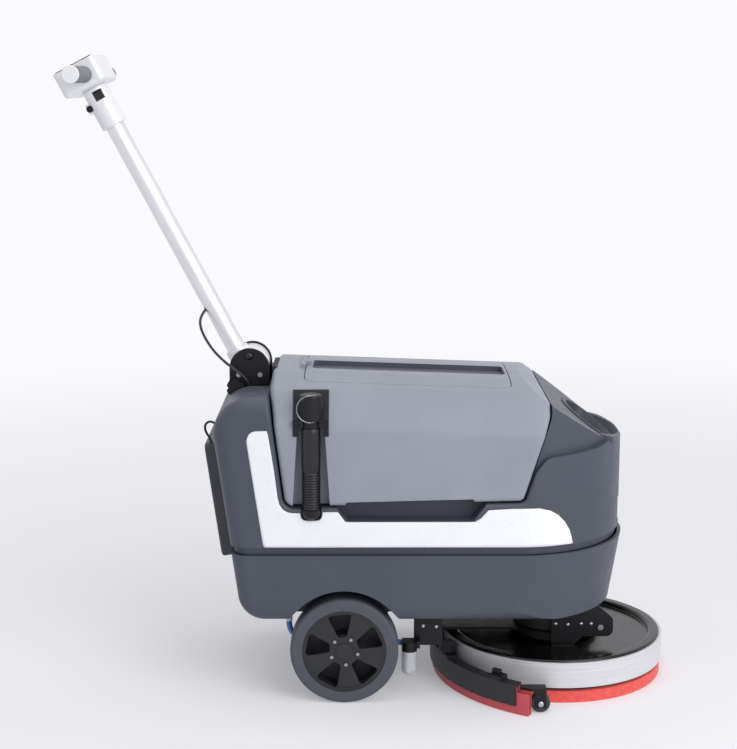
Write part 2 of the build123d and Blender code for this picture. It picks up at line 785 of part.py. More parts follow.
# Drain hose: smooth cuff above, ribs below, turned about its own axis
hose_low = hose_top - hose_cuff_h - hose_rib_count * hose_rib_pitch
hose_axis = Axis((hose_x, hose_y, 0), (0, 0, 1))
hose_plane = Plane(origin=(hose_x, hose_y, 0), x_dir=(1, 0, 0), z_dir=(0, -1, 0))
rib_root_r = hose_d / 2 - hose_rib_depth
rib_points = [(hose_bore_d / 2, hose_low), (rib_root_r, hose_low)]
for i in range(hose_rib_count):
    rib_z = hose_low + i * hose_rib_pitch
    rib_points.append((hose_d / 2, rib_z + 0.3 * hose_rib_pitch))
    rib_points.append((hose_d / 2, rib_z + 0.7 * hose_rib_pitch))
    rib_points.append((rib_root_r, rib_z + hose_rib_pitch))
cuff_low = hose_low + hose_rib_count * hose_rib_pitch
rib_points += [(hose_d / 2, cuff_low + 3.0), (hose_d / 2, hose_top), (hose_bore_d / 2, hose_top)]
with BuildPart() as drain_hose:
    with BuildSketch(hose_plane):
        with BuildLine():
            Polyline(*rib_points, close=True)
        make_face()
    revolve(axis=hose_axis)
save(drain_hose, "drain_hose")

spigot_z = elbow_low + 2.0 + spigot_r
with BuildPart() as drain_elbow:
    disc(hose_x, hose_y, (elbow_low + 2.0, hose_low), hose_d / 2)
    fillet(drain_elbow.edges().group_by(Axis.Z)[0], radius=10.0)
    disc(hose_x, hose_y, (hose_low, hose_low + 14.0), hose_bore_d / 2)
    bar(hose_x, spigot_z, (hose_y, spigot_y), spigot_r)
    disc(hose_x, spigot_y, (spigot_z, tank_low_rear + 14.0), spigot_r)
    with Locations((hose_x, spigot_y, spigot_z)):
        Sphere(spigot_r)
save(drain_elbow, "drain_elbow")

with BuildPart() as drain_cap:
    disc(hose_x, hose_y, (clip_high - 2.0 - cap_h, clip_high - 2.0), cap_d / 2)
    fillet(drain_cap.edges().group_by(Axis.Z)[-1], radius=4.0)
    disc(hose_x, hose_y, (hose_top + seat_gap, clip_high - 2.0 - cap_h), hose_bore_d / 2 + 1.5)
    disc(hose_x, hose_y, (hose_top - cap_plug_h, hose_top + seat_gap), hose_bore_d / 2 - seat_gap)
save(drain_cap, "drain_cap")

with BuildPart() as hose_clip:
    extrude(tank_section(clip_t), amount=sky, both=True)
    clip_x = (hose_x - clip_w / 2, hose_x + clip_w / 2)
    block(clip_x, (-sky, hose_y + 40.0), (clip_low, clip_high), mode=Mode.INTERSECT)
    extrude(tank_section(), amount=sky, both=True, mode=Mode.SUBTRACT)
    slot_r = cap_d / 2 + 1.0
    disc(hose_x, hose_y, (clip_low, clip_high + 1.0), slot_r, mode=Mode.SUBTRACT)
    slot_x = (hose_x - slot_r, hose_x + slot_r)
    block(slot_x, (-sky, 0), (clip_low - 1.0, clip_high - 16.0), mode=Mode.SUBTRACT)
    for side in (-1, 1):
        prong_x = sorted((hose_x + side * slot_r, hose_x + side * clip_w / 2))
        block(prong_x, (hose_y - 9.0, -body_half_w + 5.0), (hose_top + 3.0, hose_top + 12.0))
    add(recovery_tank.part, mode=Mode.SUBTRACT)
save(hose_clip, "hose_clip")

# Wheels on a fixed axle
rim_r = wheel_r - tyre_t
with BuildSketch() as window:
    with BuildLine():
        FilletPolyline(
            (window_inner_r, -window_inner_w / 2),
            (window_outer_r, -window_outer_w / 2),
            (window_outer_r, window_outer_w / 2),
            (window_inner_r, window_inner_w / 2),
            radius=5.0, close=True,
        )
    make_face()


def wheel_plane(side):
    """Return the plane of a wheel's outer face, facing outwards."""
    return Plane(origin=(axle_x, side * wheel_gauge / 2, axle_z), x_dir=(-side, 0, 0), z_dir=(0, side, 0))


def make_wheel(side, name):
    """Build and save the tyre, rim and bolts of one wheel."""
    plane = wheel_plane(side)
    with BuildPart(plane) as tyre:
        disc(0, 0, (-wheel_w, 0), wheel_r)
        fillet(tyre.edges(), radius=tyre_edge_r)
        disc(0, 0, (-wheel_w - 1.0, 1.0), rim_r, mode=Mode.SUBTRACT)
    save(tyre, f"tyre_{name}")
    with BuildPart(plane) as rim:
        disc(0, 0, (-wheel_w + 2.0, -2.0), rim_r)
        disc(0, 0, (-wheel_w + 2.0 + rim_web_t, 0), rim_r - rim_wall, mode=Mode.SUBTRACT)
        disc(0, 0, (-rim_inset - rim_web_t, -rim_inset), rim_r - rim_wall)
        disc(0, 0, (-wheel_w + 2.0, -rim_inset), rim_hub_d / 2)
        disc(0, 0, (-wheel_w, -1.0), bush_d / 2)
        bore = (-wheel_w - 1.0, -rim_inset - axle_cover_t)
        disc(0, 0, bore, axle_d / 2 + run_gap, mode=Mode.SUBTRACT)
        with BuildSketch(plane):
            with PolarLocations(0, window_count, start_angle=90.0 + wheel_turn):
                add(window.sketch)
        extrude(amount=-rim_inset - rim_web_t - 1.0, mode=Mode.SUBTRACT)
    save(rim, f"rim_{name}")
    with BuildPart(plane) as bolts:
        with BuildSketch(plane.offset(-rim_inset)):
            spoke_angle = 90.0 + wheel_turn + 180.0 / window_count
            with PolarLocations(wheel_bolt_pcd / 2, window_count, start_angle=spoke_angle):
                RegularPolygon(wheel_bolt_r, 6)
        extrude(amount=wheel_bolt_h)
    save(bolts, f"wheel_bolts_{name}")


make_wheel(-1, "right")
make_wheel(1, "left")

with BuildPart() as rear_axle:
    axle_end = wheel_gauge / 2 - rim_inset - axle_cover_t - seat_gap
    bar(axle_x, axle_z, (-axle_end, axle_end), axle_d / 2)
save(rear_axle, "rear_axle")

with BuildPart() as axle_brackets:
    for side in (-1, 1):
        plate = sorted((side * (well_y - 12.0), side * (well_y - 6.0)))
        flange = sorted((side * (well_y - 46.0), side * (well_y - 6.0)))
        block((axle_x - 30.0, axle_x + 30.0), plate, (axle_z - 20.0, base_low))
        block((axle_x - 30.0, axle_x + 30.0), flange, (base_low - 5.0, base_low))
    bar(axle_x, axle_z, (-wheel_gauge, wheel_gauge), axle_d / 2, mode=Mode.SUBTRACT)
save(axle_brackets, "axle_brackets")

# Scrubbing pad and pad driver with its shaft turn together
driver_low = pad_t
hub_low = driver_low + driver_t
shaft_top = dish_floor + 32.0
with BuildPart() as scrub_pad:
    disc(0, 0, (0, pad_t), pad_d / 2)
    fillet(scrub_pad.edges(), radius=2.0)
    disc(0, 0, (pad_t - pad_recess, pad_t), pad_hole_d / 2, mode=Mode.SUBTRACT)
save(scrub_pad, "scrub_pad")

with BuildPart() as pad_driver:
    disc(0, 0, (driver_low, driver_low + driver_t), driver_d / 2)
    disc(0, 0, (pad_t - pad_recess + seat_gap, driver_low), pad_hole_d / 2 - seat_gap)
    with PolarLocations(driver_d / 2 - 50.0, 6):
        with Locations((0, 0, driver_low + driver_t)):
            Cylinder(22.0, 12.0, mode=Mode.SUBTRACT)
    disc(0, 0, (hub_low, hub_low + hub_t), hub_d / 2)
    disc(0, 0, (hub_low + hub_t, shaft_top), shaft_d / 2)
save(pad_driver, "pad_driver")

# Fixed deck: skirt, dish, gear motor and hanger plates
dish_r = skirt_d / 2 - skirt_t
with BuildPart() as skirt_ring:
    disc(0, 0, (skirt_low, skirt_high), skirt_d / 2)
    disc(0, 0, (skirt_low - 1, skirt_high + 1), dish_r, mode=Mode.SUBTRACT)
save(skirt_ring, "skirt_ring")

with BuildPart() as deck_dish:
    with BuildSketch(Plane.XZ):
        with BuildLine():
            FilletPolyline(
                (shaft_d / 2 + 2.0, dish_floor - dish_t),
                (dish_r, dish_floor - dish_t),
                (dish_r, dish_floor + bead_rise),
                (dish_r - bead_w, dish_floor + bead_rise),
                (dish_r - bead_w, dish_floor),
                (shaft_d / 2 + 2.0, dish_floor),
                radius=[0.0, 0.0, 4.0, 5.0, 2.0, 0.0], close=True,
            )
        make_face()
    revolve(axis=Axis.Z)
save(deck_dish, "deck_dish")

neck_low_z = dish_floor + gear_flange_t
gear_low = neck_low_z + gear_neck_h
motor_low = base_low + 8.0
with BuildPart() as brush_motor:
    disc(0, 0, (dish_floor, neck_low_z), gear_flange_d / 2)
    disc(0, 0, (neck_low_z, gear_low), gear_neck_d / 2)
    disc(0, 0, (gear_low, motor_low), gear_d / 2)
    disc(0, 0, (motor_low, motor_low + motor_h), motor_d / 2)
    fillet(brush_motor.edges().group_by(Axis.Z)[-1], radius=8.0)
    disc(0, 0, (dish_floor, shaft_top + 2.0), shaft_d / 2 + run_gap, mode=Mode.SUBTRACT)
save(brush_motor, "brush_motor")

with BuildPart() as deck_brackets:
    for side in (-1, 1):
        outline = side_face(
            [
                (bracket_rear_x, base_low), (bracket_rear_x, dish_floor),
                (bracket_rear_x + 40.0, dish_floor),
                (bracket_rear_x + 54.0, dish_floor + 14.0), (bracket_front_x, dish_floor + 14.0),
                (bracket_front_x, dish_floor + 46.0), (bracket_front_x - 34.0, base_low),
            ],
            [0.0, 0.0, 6.0, 6.0, 12.0, 12.0, 0.0],
        )
        slab(outline, side * (bracket_half_w - bracket_t), side * bracket_half_w)
        lip = sorted((side * (bracket_half_w - bracket_t), side * (bracket_half_w + 18.0)))
        block((bracket_rear_x, bracket_front_x - 34.0), lip, (base_low - bracket_t, base_low))
        foot = sorted((side * (bracket_half_w - bracket_t), side * (bracket_half_w + 14.0)))
        block((bracket_rear_x, bracket_rear_x + 38.0), foot, (dish_floor, dish_floor + bracket_t))
save(deck_brackets, "deck_brackets")

# Squeegee: holder and blades are arcs about a centre ahead of the pad axis


def arc_face(r_in, r_out, half_angle):
    """Return a plan face between two arcs that open towards the front."""
    reach = 1.6 * r_out
    edge_x = blade_centre_x - reach * cos(radians(half_angle))
    edge_y = reach * sin(radians(half_angle))
    with BuildSketch(Plane.XY) as band:
        with Locations((blade_centre_x, 0)):
            Circle(r_out)
            Circle(r_in, mode=Mode.SUBTRACT)
        with BuildLine():
            Polyline(
                (blade_centre_x, 0), (edge_x, edge_y), (-reach, edge_y),
                (-reach, -edge_y), (edge_x, -edge_y), close=True,
            )
        make_face(mode=Mode.INTERSECT)
    return band.sketch


def arc_place(r, angle):
    """Return the X and Y of a place on the squeegee's arc, angle from the rear centre line."""
    return blade_centre_x - r * cos(radians(angle)), r * sin(radians(angle))


def layer(face, z, mode=Mode.ADD):
    """Extrude a plan face between a (low, high) pair of heights."""
    extrude(Pos(0, 0, z[0]) * face, amount=z[1] - z[0], mode=mode)


holder_r_out = blade_r + holder_wall + slip_gap + blade_t / 2
holder_r_in = holder_r_out - holder_w
holder_r_mid = (holder_r_in + holder_r_out) / 2
holder_high = blade_high + holder_top_t
rear_slot = (blade_r - blade_t / 2 - slip_gap, blade_r + blade_t / 2 + slip_gap)
front_slot = (holder_r_in + holder_wall, holder_r_in + holder_wall + blade_t + 2 * slip_gap)

with BuildPart() as rear_blade:
    blade_r_pair = (rear_slot[0] + slip_gap, rear_slot[1] - slip_gap)
    layer(arc_face(*blade_r_pair, blade_half_angle), (blade_low, blade_end_high))
    layer(arc_face(*blade_r_pair, holder_half_angle), (blade_end_high, blade_high))
save(rear_blade, "rear_blade")

with BuildPart() as front_blade:
    blade_r_pair = (front_slot[0] + slip_gap, front_slot[1] - slip_gap)
    layer(arc_face(*blade_r_pair, blade_half_angle), (blade_low, blade_end_high))
    layer(arc_face(*blade_r_pair, holder_half_angle), (blade_end_high, blade_high))
    for i in range(-12, 13):
        notch_place = (*arc_place(front_slot[0] + blade_t / 2, i * 4.5), blade_low)
        with Locations(Location(notch_place, (0, 0, -i * 4.5))):
            Box(3 * blade_t, 4.0, 10.0, mode=Mode.SUBTRACT)
save(front_blade, "front_blade")

throat_x = blade_centre_x - holder_r_mid
port_x = -skirt_d / 2 - 2.5 - port_r - 4.0
with BuildPart() as blade_holder:
    layer(arc_face(holder_r_in, holder_r_out, holder_half_angle), (holder_low, holder_high))
    layer(arc_face(*rear_slot, blade_half_angle), (holder_low, blade_high), mode=Mode.SUBTRACT)
    layer(arc_face(*front_slot, blade_half_angle), (holder_low, blade_high), mode=Mode.SUBTRACT)
    for i in range(-8, 9):
        with Locations(Location((*arc_place(holder_r_out, i * 6.6), holder_low), (0, 0, -i * 6.6))):
            Box(2.4, 9.0, 8.0, mode=Mode.SUBTRACT)
    disc(throat_x, 0, (holder_low, holder_high + 1.0), port_throat_r, mode=Mode.SUBTRACT)
save(blade_holder, "blade_holder")

yoke_low = holder_high
yoke_high = yoke_low + swivel_arm_t
arm_high = gear_low - 1.0
arm_low = arm_high - swivel_arm_t
ring_low = neck_low_z + seat_gap
knob_xy = [(*arc_place(holder_r_mid, side * squeegee_knob_angle), 0) for side in (-1, 1)]
with BuildPart() as swivel_yoke:
    disc(0, 0, (ring_low, arm_high), gear_neck_d / 2 + ring_w)
    layer(arc_face(holder_r_in, holder_r_out, squeegee_knob_angle + 4.0), (yoke_low, yoke_high))
    with BuildSketch(Plane.XY.offset(arm_low)):
        with BuildLine():
            Polyline(
                (0, -arm_half_w), (port_x - 10.0, -arm_half_w), (port_x - 10.0, arm_half_w),
                (0, arm_half_w), close=True,
            )
        make_face()
    extrude(amount=swivel_arm_t)
    for side in (-1, 1):
        cheek = sorted((side * (arm_half_w - swivel_arm_t), side * arm_half_w))
        block((port_x - 10.0, port_x + 8.0), cheek, (yoke_low, arm_high))
    disc(port_x, 0, (yoke_low, arm_high), port_r + 4.0)
    disc(port_x, 0, (yoke_high, sky), port_r, mode=Mode.SUBTRACT)
    disc(throat_x, 0, (yoke_low - 1, yoke_high + 1), port_throat_r, mode=Mode.SUBTRACT)
    disc(0, 0, (ring_low - 1, arm_high + 1), gear_neck_d / 2 + run_gap, mode=Mode.SUBTRACT)
    for x, y, _ in knob_xy:
        disc(x, y, (yoke_low - 1, yoke_high + 1), stud_d / 2 + slip_gap, mode=Mode.SUBTRACT)
save(swivel_yoke, "swivel_yoke")

with BuildPart() as squeegee_knobs:
    for x, y, _ in knob_xy:
        disc(x, y, (yoke_low, yoke_high), stud_d / 2)
        disc(x, y, (yoke_high, yoke_high + 5.0), 10.0)
        with BuildSketch(Plane.XY.offset(yoke_high + 5.0)):
            with Locations((x, y)):
                Circle(squeegee_knob_d / 2)
                with PolarLocations(squeegee_knob_d / 2 + 2.0, 8):
                    Circle(4.0, mode=Mode.SUBTRACT)
        extrude(amount=12.0)
save(squeegee_knobs, "squeegee_knobs")

with BuildPart() as squeegee_clips:
    for side in (-1, 1):
        x, y = arc_place(holder_r_mid, side * clip_angle)
        with Locations(Location((x, y, holder_high), (0, 0, -side * clip_angle))):
            Box(holder_w, 24.0, 8.0, align=(Align.CENTER, Align.CENTER, Align.MIN))
            with Locations((2.0, 4.0, 8.0)):
                Box(8.0, 14.0, 7.0, align=(Align.CENTER, Align.CENTER, Align.MIN))
save(squeegee_clips, "squeegee_clips")

fork_half_w = end_wheel_w / 2 + seat_gap
end_wheel_x, end_wheel_y = arc_place(holder_r_in - end_wheel_inset, end_wheel_angle)
with BuildPart() as wheel_forks:
    for side in (-1, 1):
        fork_out = fork_half_w + fork_t
        cheek_in = sorted((side * (end_wheel_y - fork_half_w), side * (end_wheel_y - fork_out)))
        cheek_out = sorted((side * (end_wheel_y + fork_half_w), side * (end_wheel_y + fork_out)))
        for cheek in (cheek_in, cheek_out):
            block((end_wheel_x - 9.0, end_wheel_x + 9.0), cheek, (end_wheel_d / 2 - 7.0, fork_high))
        span = sorted((side * (end_wheel_y - fork_out), side * (end_wheel_y + fork_out)))
        block((end_wheel_x - 9.0, end_wheel_x + 9.0), span, (fork_high - 4.0, fork_high))
        block((end_wheel_x - 70.0, end_wheel_x), span, (fork_high - 4.0, fork_high))
        with Locations((blade_centre_x, 0, fork_high)):
            Cylinder(holder_r_in, 200.0, mode=Mode.INTERSECT)
        bar(end_wheel_x, end_wheel_d / 2, span, fork_pin_r)
save(wheel_forks, "wheel_forks")

for side, name in ((-1, "right"), (1, "left")):
    with BuildPart() as end_wheel:
        span = sorted((side * (end_wheel_y - end_wheel_w / 2), side * (end_wheel_y + end_wheel_w / 2)))
        bar(end_wheel_x, end_wheel_d / 2, span, end_wheel_d / 2)
        fillet(end_wheel.edges(), radius=2.5)
        bar(end_wheel_x, end_wheel_d / 2, (-sky, sky), fork_pin_r + run_gap, mode=Mode.SUBTRACT)
    save(end_wheel, f"end_wheel_{name}")

# Folding handle: bracket and pin on the body, knuckle, column and head above
head_low = neck_low + neck_h
head_high = head_low + head_h
lean_c = cos(radians(handle_lean))
lean_s = sin(radians(handle_lean))
handle_plane = Plane(
    origin=(pivot_x - column_set_back * lean_c, 0, pivot_z - column_set_back * lean_s),
    x_dir=(lean_c, 0, lean_s),
    z_dir=(-lean_s, 0, lean_c),
)
hinge_outer_y = knuckle_half_w + seat_gap + hinge_plate_t

with BuildPart() as hinge_bracket:
    with BuildSketch(Plane.XZ) as cheek:
        with Locations((pivot_x, pivot_z)):
            Circle(hinge_plate_r)
        with Locations((pivot_x, (pivot_z + hinge_floor) / 2)):
            Rectangle(2 * hinge_plate_r, pivot_z - hinge_floor)
    for side in (-1, 1):
        slab(cheek.sketch, side * (hinge_outer_y - hinge_plate_t), side * hinge_outer_y)
    foot = (hinge_floor, hinge_floor + hinge_plate_t)
    block((pivot_x - hinge_plate_r, pivot_x + hinge_plate_r), (-hinge_outer_y, hinge_outer_y), foot)
    bar(pivot_x, pivot_z, (-hinge_outer_y - 1, hinge_outer_y + 1), hinge_pin_d / 2, mode=Mode.SUBTRACT)
    bar(knob_x, knob_z, (-hinge_outer_y - 1, 0), stud_d / 2 + run_gap, mode=Mode.SUBTRACT)
save(hinge_bracket, "hinge_bracket")

with BuildPart() as hinge_pin:
    bar(pivot_x, pivot_z, (-hinge_outer_y, hinge_outer_y), hinge_pin_d / 2)
save(hinge_pin, "hinge_pin")

with BuildPart() as chassis_bolts:
    for side in (-1, 1):
        with BuildSketch(Plane.XZ.offset(-side * hinge_outer_y)):
            with Locations((pivot_x, pivot_z)):
                with PolarLocations(hinge_bolt_pcd / 2, 3, start_angle=90.0):
                    RegularPolygon(hinge_bolt_r, 6)
        extrude(amount=-side * bolt_h)
        with BuildSketch(Plane.XZ.offset(-side * bracket_half_w)):
            with Locations((bracket_front_x - 22.0, dish_floor + 31.0)):
                RegularPolygon(bolt_r, 6)
        extrude(amount=-side * bolt_h)
save(chassis_bolts, "chassis_bolts")

knob_face_y = -hinge_outer_y - seat_gap
with BuildPart() as star_knob:
    bar(knob_x, knob_z, (knob_face_y, -hinge_outer_y + hinge_plate_t), stud_d / 2)
    with BuildSketch(Plane.XZ.offset(-knob_face_y)):
        with Locations((knob_x, knob_z)):
            Circle(knob_d / 2)
            with PolarLocations(knob_d / 2 + 1.5, 6):
                Circle(4.5, mode=Mode.SUBTRACT)
    extrude(amount=knob_t)
save(star_knob, "star_knob")

with BuildPart(handle_plane) as handle_knuckle:
    disc(0, 0, (0, column_low + socket_grip), socket_d / 2)
    bar(column_set_back, 0, (-knuckle_half_w, knuckle_half_w), knuckle_d / 2)
    disc(0, 0, (column_low, sky), column_d / 2, mode=Mode.SUBTRACT)
    bar(column_set_back, 0, (-sky, sky), hinge_pin_d / 2 + run_gap, mode=Mode.SUBTRACT)
save(handle_knuckle, "handle_knuckle")

cable_exit_t = 121.0
cable_d = 4.5
with BuildPart(handle_plane) as column_tube:
    disc(0, 0, (column_low, head_low), column_d / 2)
    disc(0, 0, (column_low - 1, head_low + 1), column_d / 2 - column_wall, mode=Mode.SUBTRACT)
    with Locations(Location((-column_d / 2, -6.0, cable_exit_t), (0, 90, 0))):
        Cylinder(cable_d, 12.0, mode=Mode.SUBTRACT)
save(column_tube, "column_tube")

clamp_bolt_a = -neck_d / 2
with BuildPart(handle_plane) as neck_clamp:
    disc(0, 0, (neck_low, head_low), neck_d / 2)
    block((-neck_d / 2 - clamp_ear, 0), (-clamp_ear_w / 2, clamp_ear_w / 2), (clamp_t - 9.0, clamp_t + 9.0))
    fillet(neck_clamp.edges().filter_by(GeomType.CIRCLE).group_by(SortBy.LENGTH)[-1], radius=2.0)
    disc(0, 0, (neck_low - 1, head_low + 1), column_d / 2, mode=Mode.SUBTRACT)
    block((-sky, 0), (-1.0, 1.0), (neck_low - 1, clamp_t + 12.0), mode=Mode.SUBTRACT)
    bar(clamp_bolt_a, clamp_t, (-sky, sky), clamp_bolt_r, mode=Mode.SUBTRACT)
    for side in (-1, 1):
        head_space = sorted((side * clamp_ear_w / 2, side * sky))
        bar(clamp_bolt_a, clamp_t, head_space, clamp_head_r + slip_gap, mode=Mode.SUBTRACT)
    block((-5.0, 12.0), (-neck_d, -neck_d / 2 + 3.5), (head_low - 23.0, head_low - 6.0), mode=Mode.SUBTRACT)
save(neck_clamp, "neck_clamp")

with BuildPart(handle_plane) as clamp_bolt:
    bar(clamp_bolt_a, clamp_t, (-clamp_ear_w / 2, clamp_ear_w / 2), clamp_bolt_r)
    bar(clamp_bolt_a, clamp_t, (-clamp_ear_w / 2 - 4.0, -clamp_ear_w / 2), clamp_head_r)
    bar(clamp_bolt_a, clamp_t, (clamp_ear_w / 2, clamp_ear_w / 2 + 4.0), clamp_head_r)
save(clamp_bolt, "clamp_bolt")

bar_t = head_low + grip_t
bar_r = grip_d / 2 - grip_wall
with BuildPart(handle_plane) as head_housing:
    block((-head_back, head_front), (-head_half_w, head_half_w), (head_low, head_high))
    upright = head_housing.edges().filter_by(lambda e: abs((e % 0.5).dot(handle_plane.z_dir)) > 0.99)
    fillet(upright, radius=10.0)
    low_ring = head_housing.faces().sort_by(lambda f: handle_plane.to_local_coords(f.center()).Z)[0].edges()
    fillet(low_ring, radius=6.0)
    panel_space = ((-head_back + 9.0, head_front - 9.0), (-head_half_w + 12.0, head_half_w - 12.0))
    block(*panel_space, (head_low + 8.0, head_high + 1.0), mode=Mode.SUBTRACT)
    bar(grip_a, bar_t, (-head_half_w - 1, head_half_w + 1), bar_r, mode=Mode.SUBTRACT)
save(head_housing, "head_housing")

with BuildPart(handle_plane) as handle_bar:
    for side in (-1, 1):
        span = sorted((side * (head_half_w + grip_len), side * (head_half_w + grip_len + cap_end)))
        bar(grip_a, bar_t, span, grip_d / 2 + 0.5)
    fillet(handle_bar.edges().filter_by(GeomType.CIRCLE), radius=1.5)
    bar(grip_a, bar_t, (-head_half_w - grip_len - 1.0, head_half_w + grip_len + 1.0), bar_r)
save(handle_bar, "handle_bar")

with BuildPart(handle_plane) as hand_grips:
    for side in (-1, 1):
        span = sorted((side * head_half_w, side * (head_half_w + grip_len)))
        bar(grip_a, bar_t, span, grip_d / 2)
    fillet(hand_grips.edges().filter_by(GeomType.CIRCLE), radius=2.0)
    bar(grip_a, bar_t, (-sky, sky), bar_r, mode=Mode.SUBTRACT)
save(hand_grips, "hand_grips")

panel_top = head_high + panel_t
button_places = [(button_a, y) for y in (-button_pitch, 0.0, button_pitch)]
with BuildPart(handle_plane) as control_panel:
    panel_y = (-head_half_w + 8.0, head_half_w - 8.0)
    block((-head_back + 5.0, head_front - 5.0), panel_y, (head_high, panel_top))
    for a, y in button_places:
        disc(a, y, (head_high - 1, panel_top + 1), button_d / 2 + seat_gap, mode=Mode.SUBTRACT)
save(control_panel, "control_panel")

with BuildPart(handle_plane) as battery_gauge:
    block((button_a + 16.0, button_a + 32.0), (-26.0, 26.0), (panel_top, panel_top + 1.5))
save(battery_gauge, "battery_gauge")

for (a, y), name in zip(button_places, ("brush", "vacuum", "water")):
    with BuildPart(handle_plane) as button:
        disc(a, y, (head_high - button_foot, panel_top + button_rise), button_d / 2)
        disc(a, y, (head_high - button_foot, head_high - seat_gap), button_d / 2 + 2.0)
    save(button, f"button_{name}")

# Charger box on the leaning rear wall
charger_plane = Plane(
    origin=(rear_x(charger_mid_z), 0, charger_mid_z),
    x_dir=(0, -1, 0),
    z_dir=(-cos(radians(rear_lean)), 0, -sin(radians(rear_lean))),
)
charger_top_z = charger_mid_z + charger_h / 2 * cos(radians(rear_lean)) - 14.0 * sin(radians(rear_lean))
with BuildPart() as charger_box:
    with BuildSketch(charger_plane):
        RectangleRounded(charger_w, charger_h, 14.0)
    extrude(amount=charger_t)
    fillet(charger_box.edges().sort_by(Axis.X)[:8], radius=4.0)
    with BuildSketch(charger_plane.offset(charger_t)):
        with GridLocations(0, 12.0, 1, 7):
            SlotOverall(charger_w - 60.0, 5.0)
    extrude(amount=-3.0, mode=Mode.SUBTRACT)
save(charger_box, "charger_box")

# Battery inside the base
tray_floor = base_low + base_wall
with BuildPart() as battery_pack:
    battery_x = (battery_rear_x, battery_rear_x + battery_len)
    block(battery_x, (-battery_w / 2, battery_w / 2), (tray_floor, tray_floor + battery_h))
    fillet(battery_pack.edges().filter_by(Axis.Z), radius=6.0)
save(battery_pack, "battery_pack")

# Solution line below the base
with BuildPart() as hose_fitting:
    disc(*fitting_place, (base_low - 10.0, base_low), 9.0)
    disc(*fitting_place, (fitting_low, base_low - 10.0), 6.0)
save(hose_fitting, "hose_fitting")

bowl_high = bowl_low + bowl_h
lug_z = bowl_high + 9.0
with BuildPart() as filter_bowl:
    disc(filter_x, filter_y, (bowl_low, bowl_high), bowl_d / 2)
    fillet(filter_bowl.edges().group_by(Axis.Z)[0], radius=6.0)
save(filter_bowl, "filter_bowl")

with BuildPart() as filter_head:
    disc(filter_x, filter_y, (bowl_high, bowl_high + 16.0), bowl_d / 2)
    lug_y = filter_y + 20.0
    block((filter_x - 12.0, filter_x + 18.0), (filter_y, lug_y), (lug_z - 6.0, lug_z + 6.0))
    block((filter_x + 8.0, filter_x + 56.0), (lug_y, lug_y + 4.0), (bowl_high + 2.0, base_low))
    block((filter_x + 8.0, filter_x + 56.0), (lug_y, lug_y + 32.0), (base_low - 4.0, base_low))
save(filter_head, "filter_head")


def corner_radii(points):
    """Return a bend radius for each inner corner of a route, with straight runs left between."""
    radii = []
    for a, b, c in zip(points, points[1:], points[2:]):
        run_in = Vector(*b) - Vector(*a)
        run_out = Vector(*c) - Vector(*b)
        half_turn = radians(run_in.get_angle(run_out)) / 2
        radii.append(0.45 * min(run_in.length, run_out.length) / tan(half_turn))
    return radii


def make_cord(points, d, name):
    """Build and save a round cord along straight runs joined by tangent arcs."""
    with BuildPart() as cord:
        with BuildLine():
            route = FilletPolyline(*points, radius=corner_radii(points))
        with BuildSketch(Plane(origin=route @ 0, z_dir=route % 0)):
            Circle(d / 2)
        sweep(path=route)
    save(cord, name)


cable_start = handle_plane.from_local_coords((-column_d / 2 + 4.0, -6.0, cable_exit_t))
make_cord(
    [
        (cable_start.X, cable_start.Y, cable_start.Z), (-611, -12, 627), (-612, -22, 612), (-604, -34, 595),
        (-589, -46, 574), (-570, -54, 556), (-550, -57, 541), (-533, -55, 527),
        (-524, -52, 508), (-522, -50, hinge_floor + 0.5),
    ],
    cable_d, "control_cable",
)
make_cord(
    [
        (rear_x(457.0) - slip_gap, -100, 457), (-587, -100.5, 461.5), (-593.5, -101, 460.5),
        (-598, -100.5, 455.5), (-598.6, -100, 448.5), (-596, -99.7, 441), (-591, -99.8, 434),
        (-588, -100, charger_top_z + 0.4),
    ],
    4.0, "charger_cable",
)
make_cord(
    [
        (*fitting_place, fitting_low - 0.2), (*fitting_place, 105), (-450, -112.5, 92),
        (-431, -113.5, 86.5),
        (-410, -114.5, 91), (-390, -115.5, 106), (-374, -116, 115), (-353, -117.5, 116),
        (-330, -120, 109), (-304, -131, 96), (-285, -135, 88),
        (filter_x - 12.6, filter_y + 14.0, lug_z),
    ],
    10.0, "solution_hose",
)
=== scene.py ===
"""Looks of a walk-behind floor scrubber, laid out as a Blender add-on.

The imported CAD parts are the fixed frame.  This file gives every part its finish and makes
the soft, ribbed, thin and small pieces: cables, hoses, scrubbing pad, hand grips, the white
side film, screw heads and a wire loop.  X points forward, Y to the machine's left and Z up,
in metres.
"""

from math import cos, pi, radians, sin

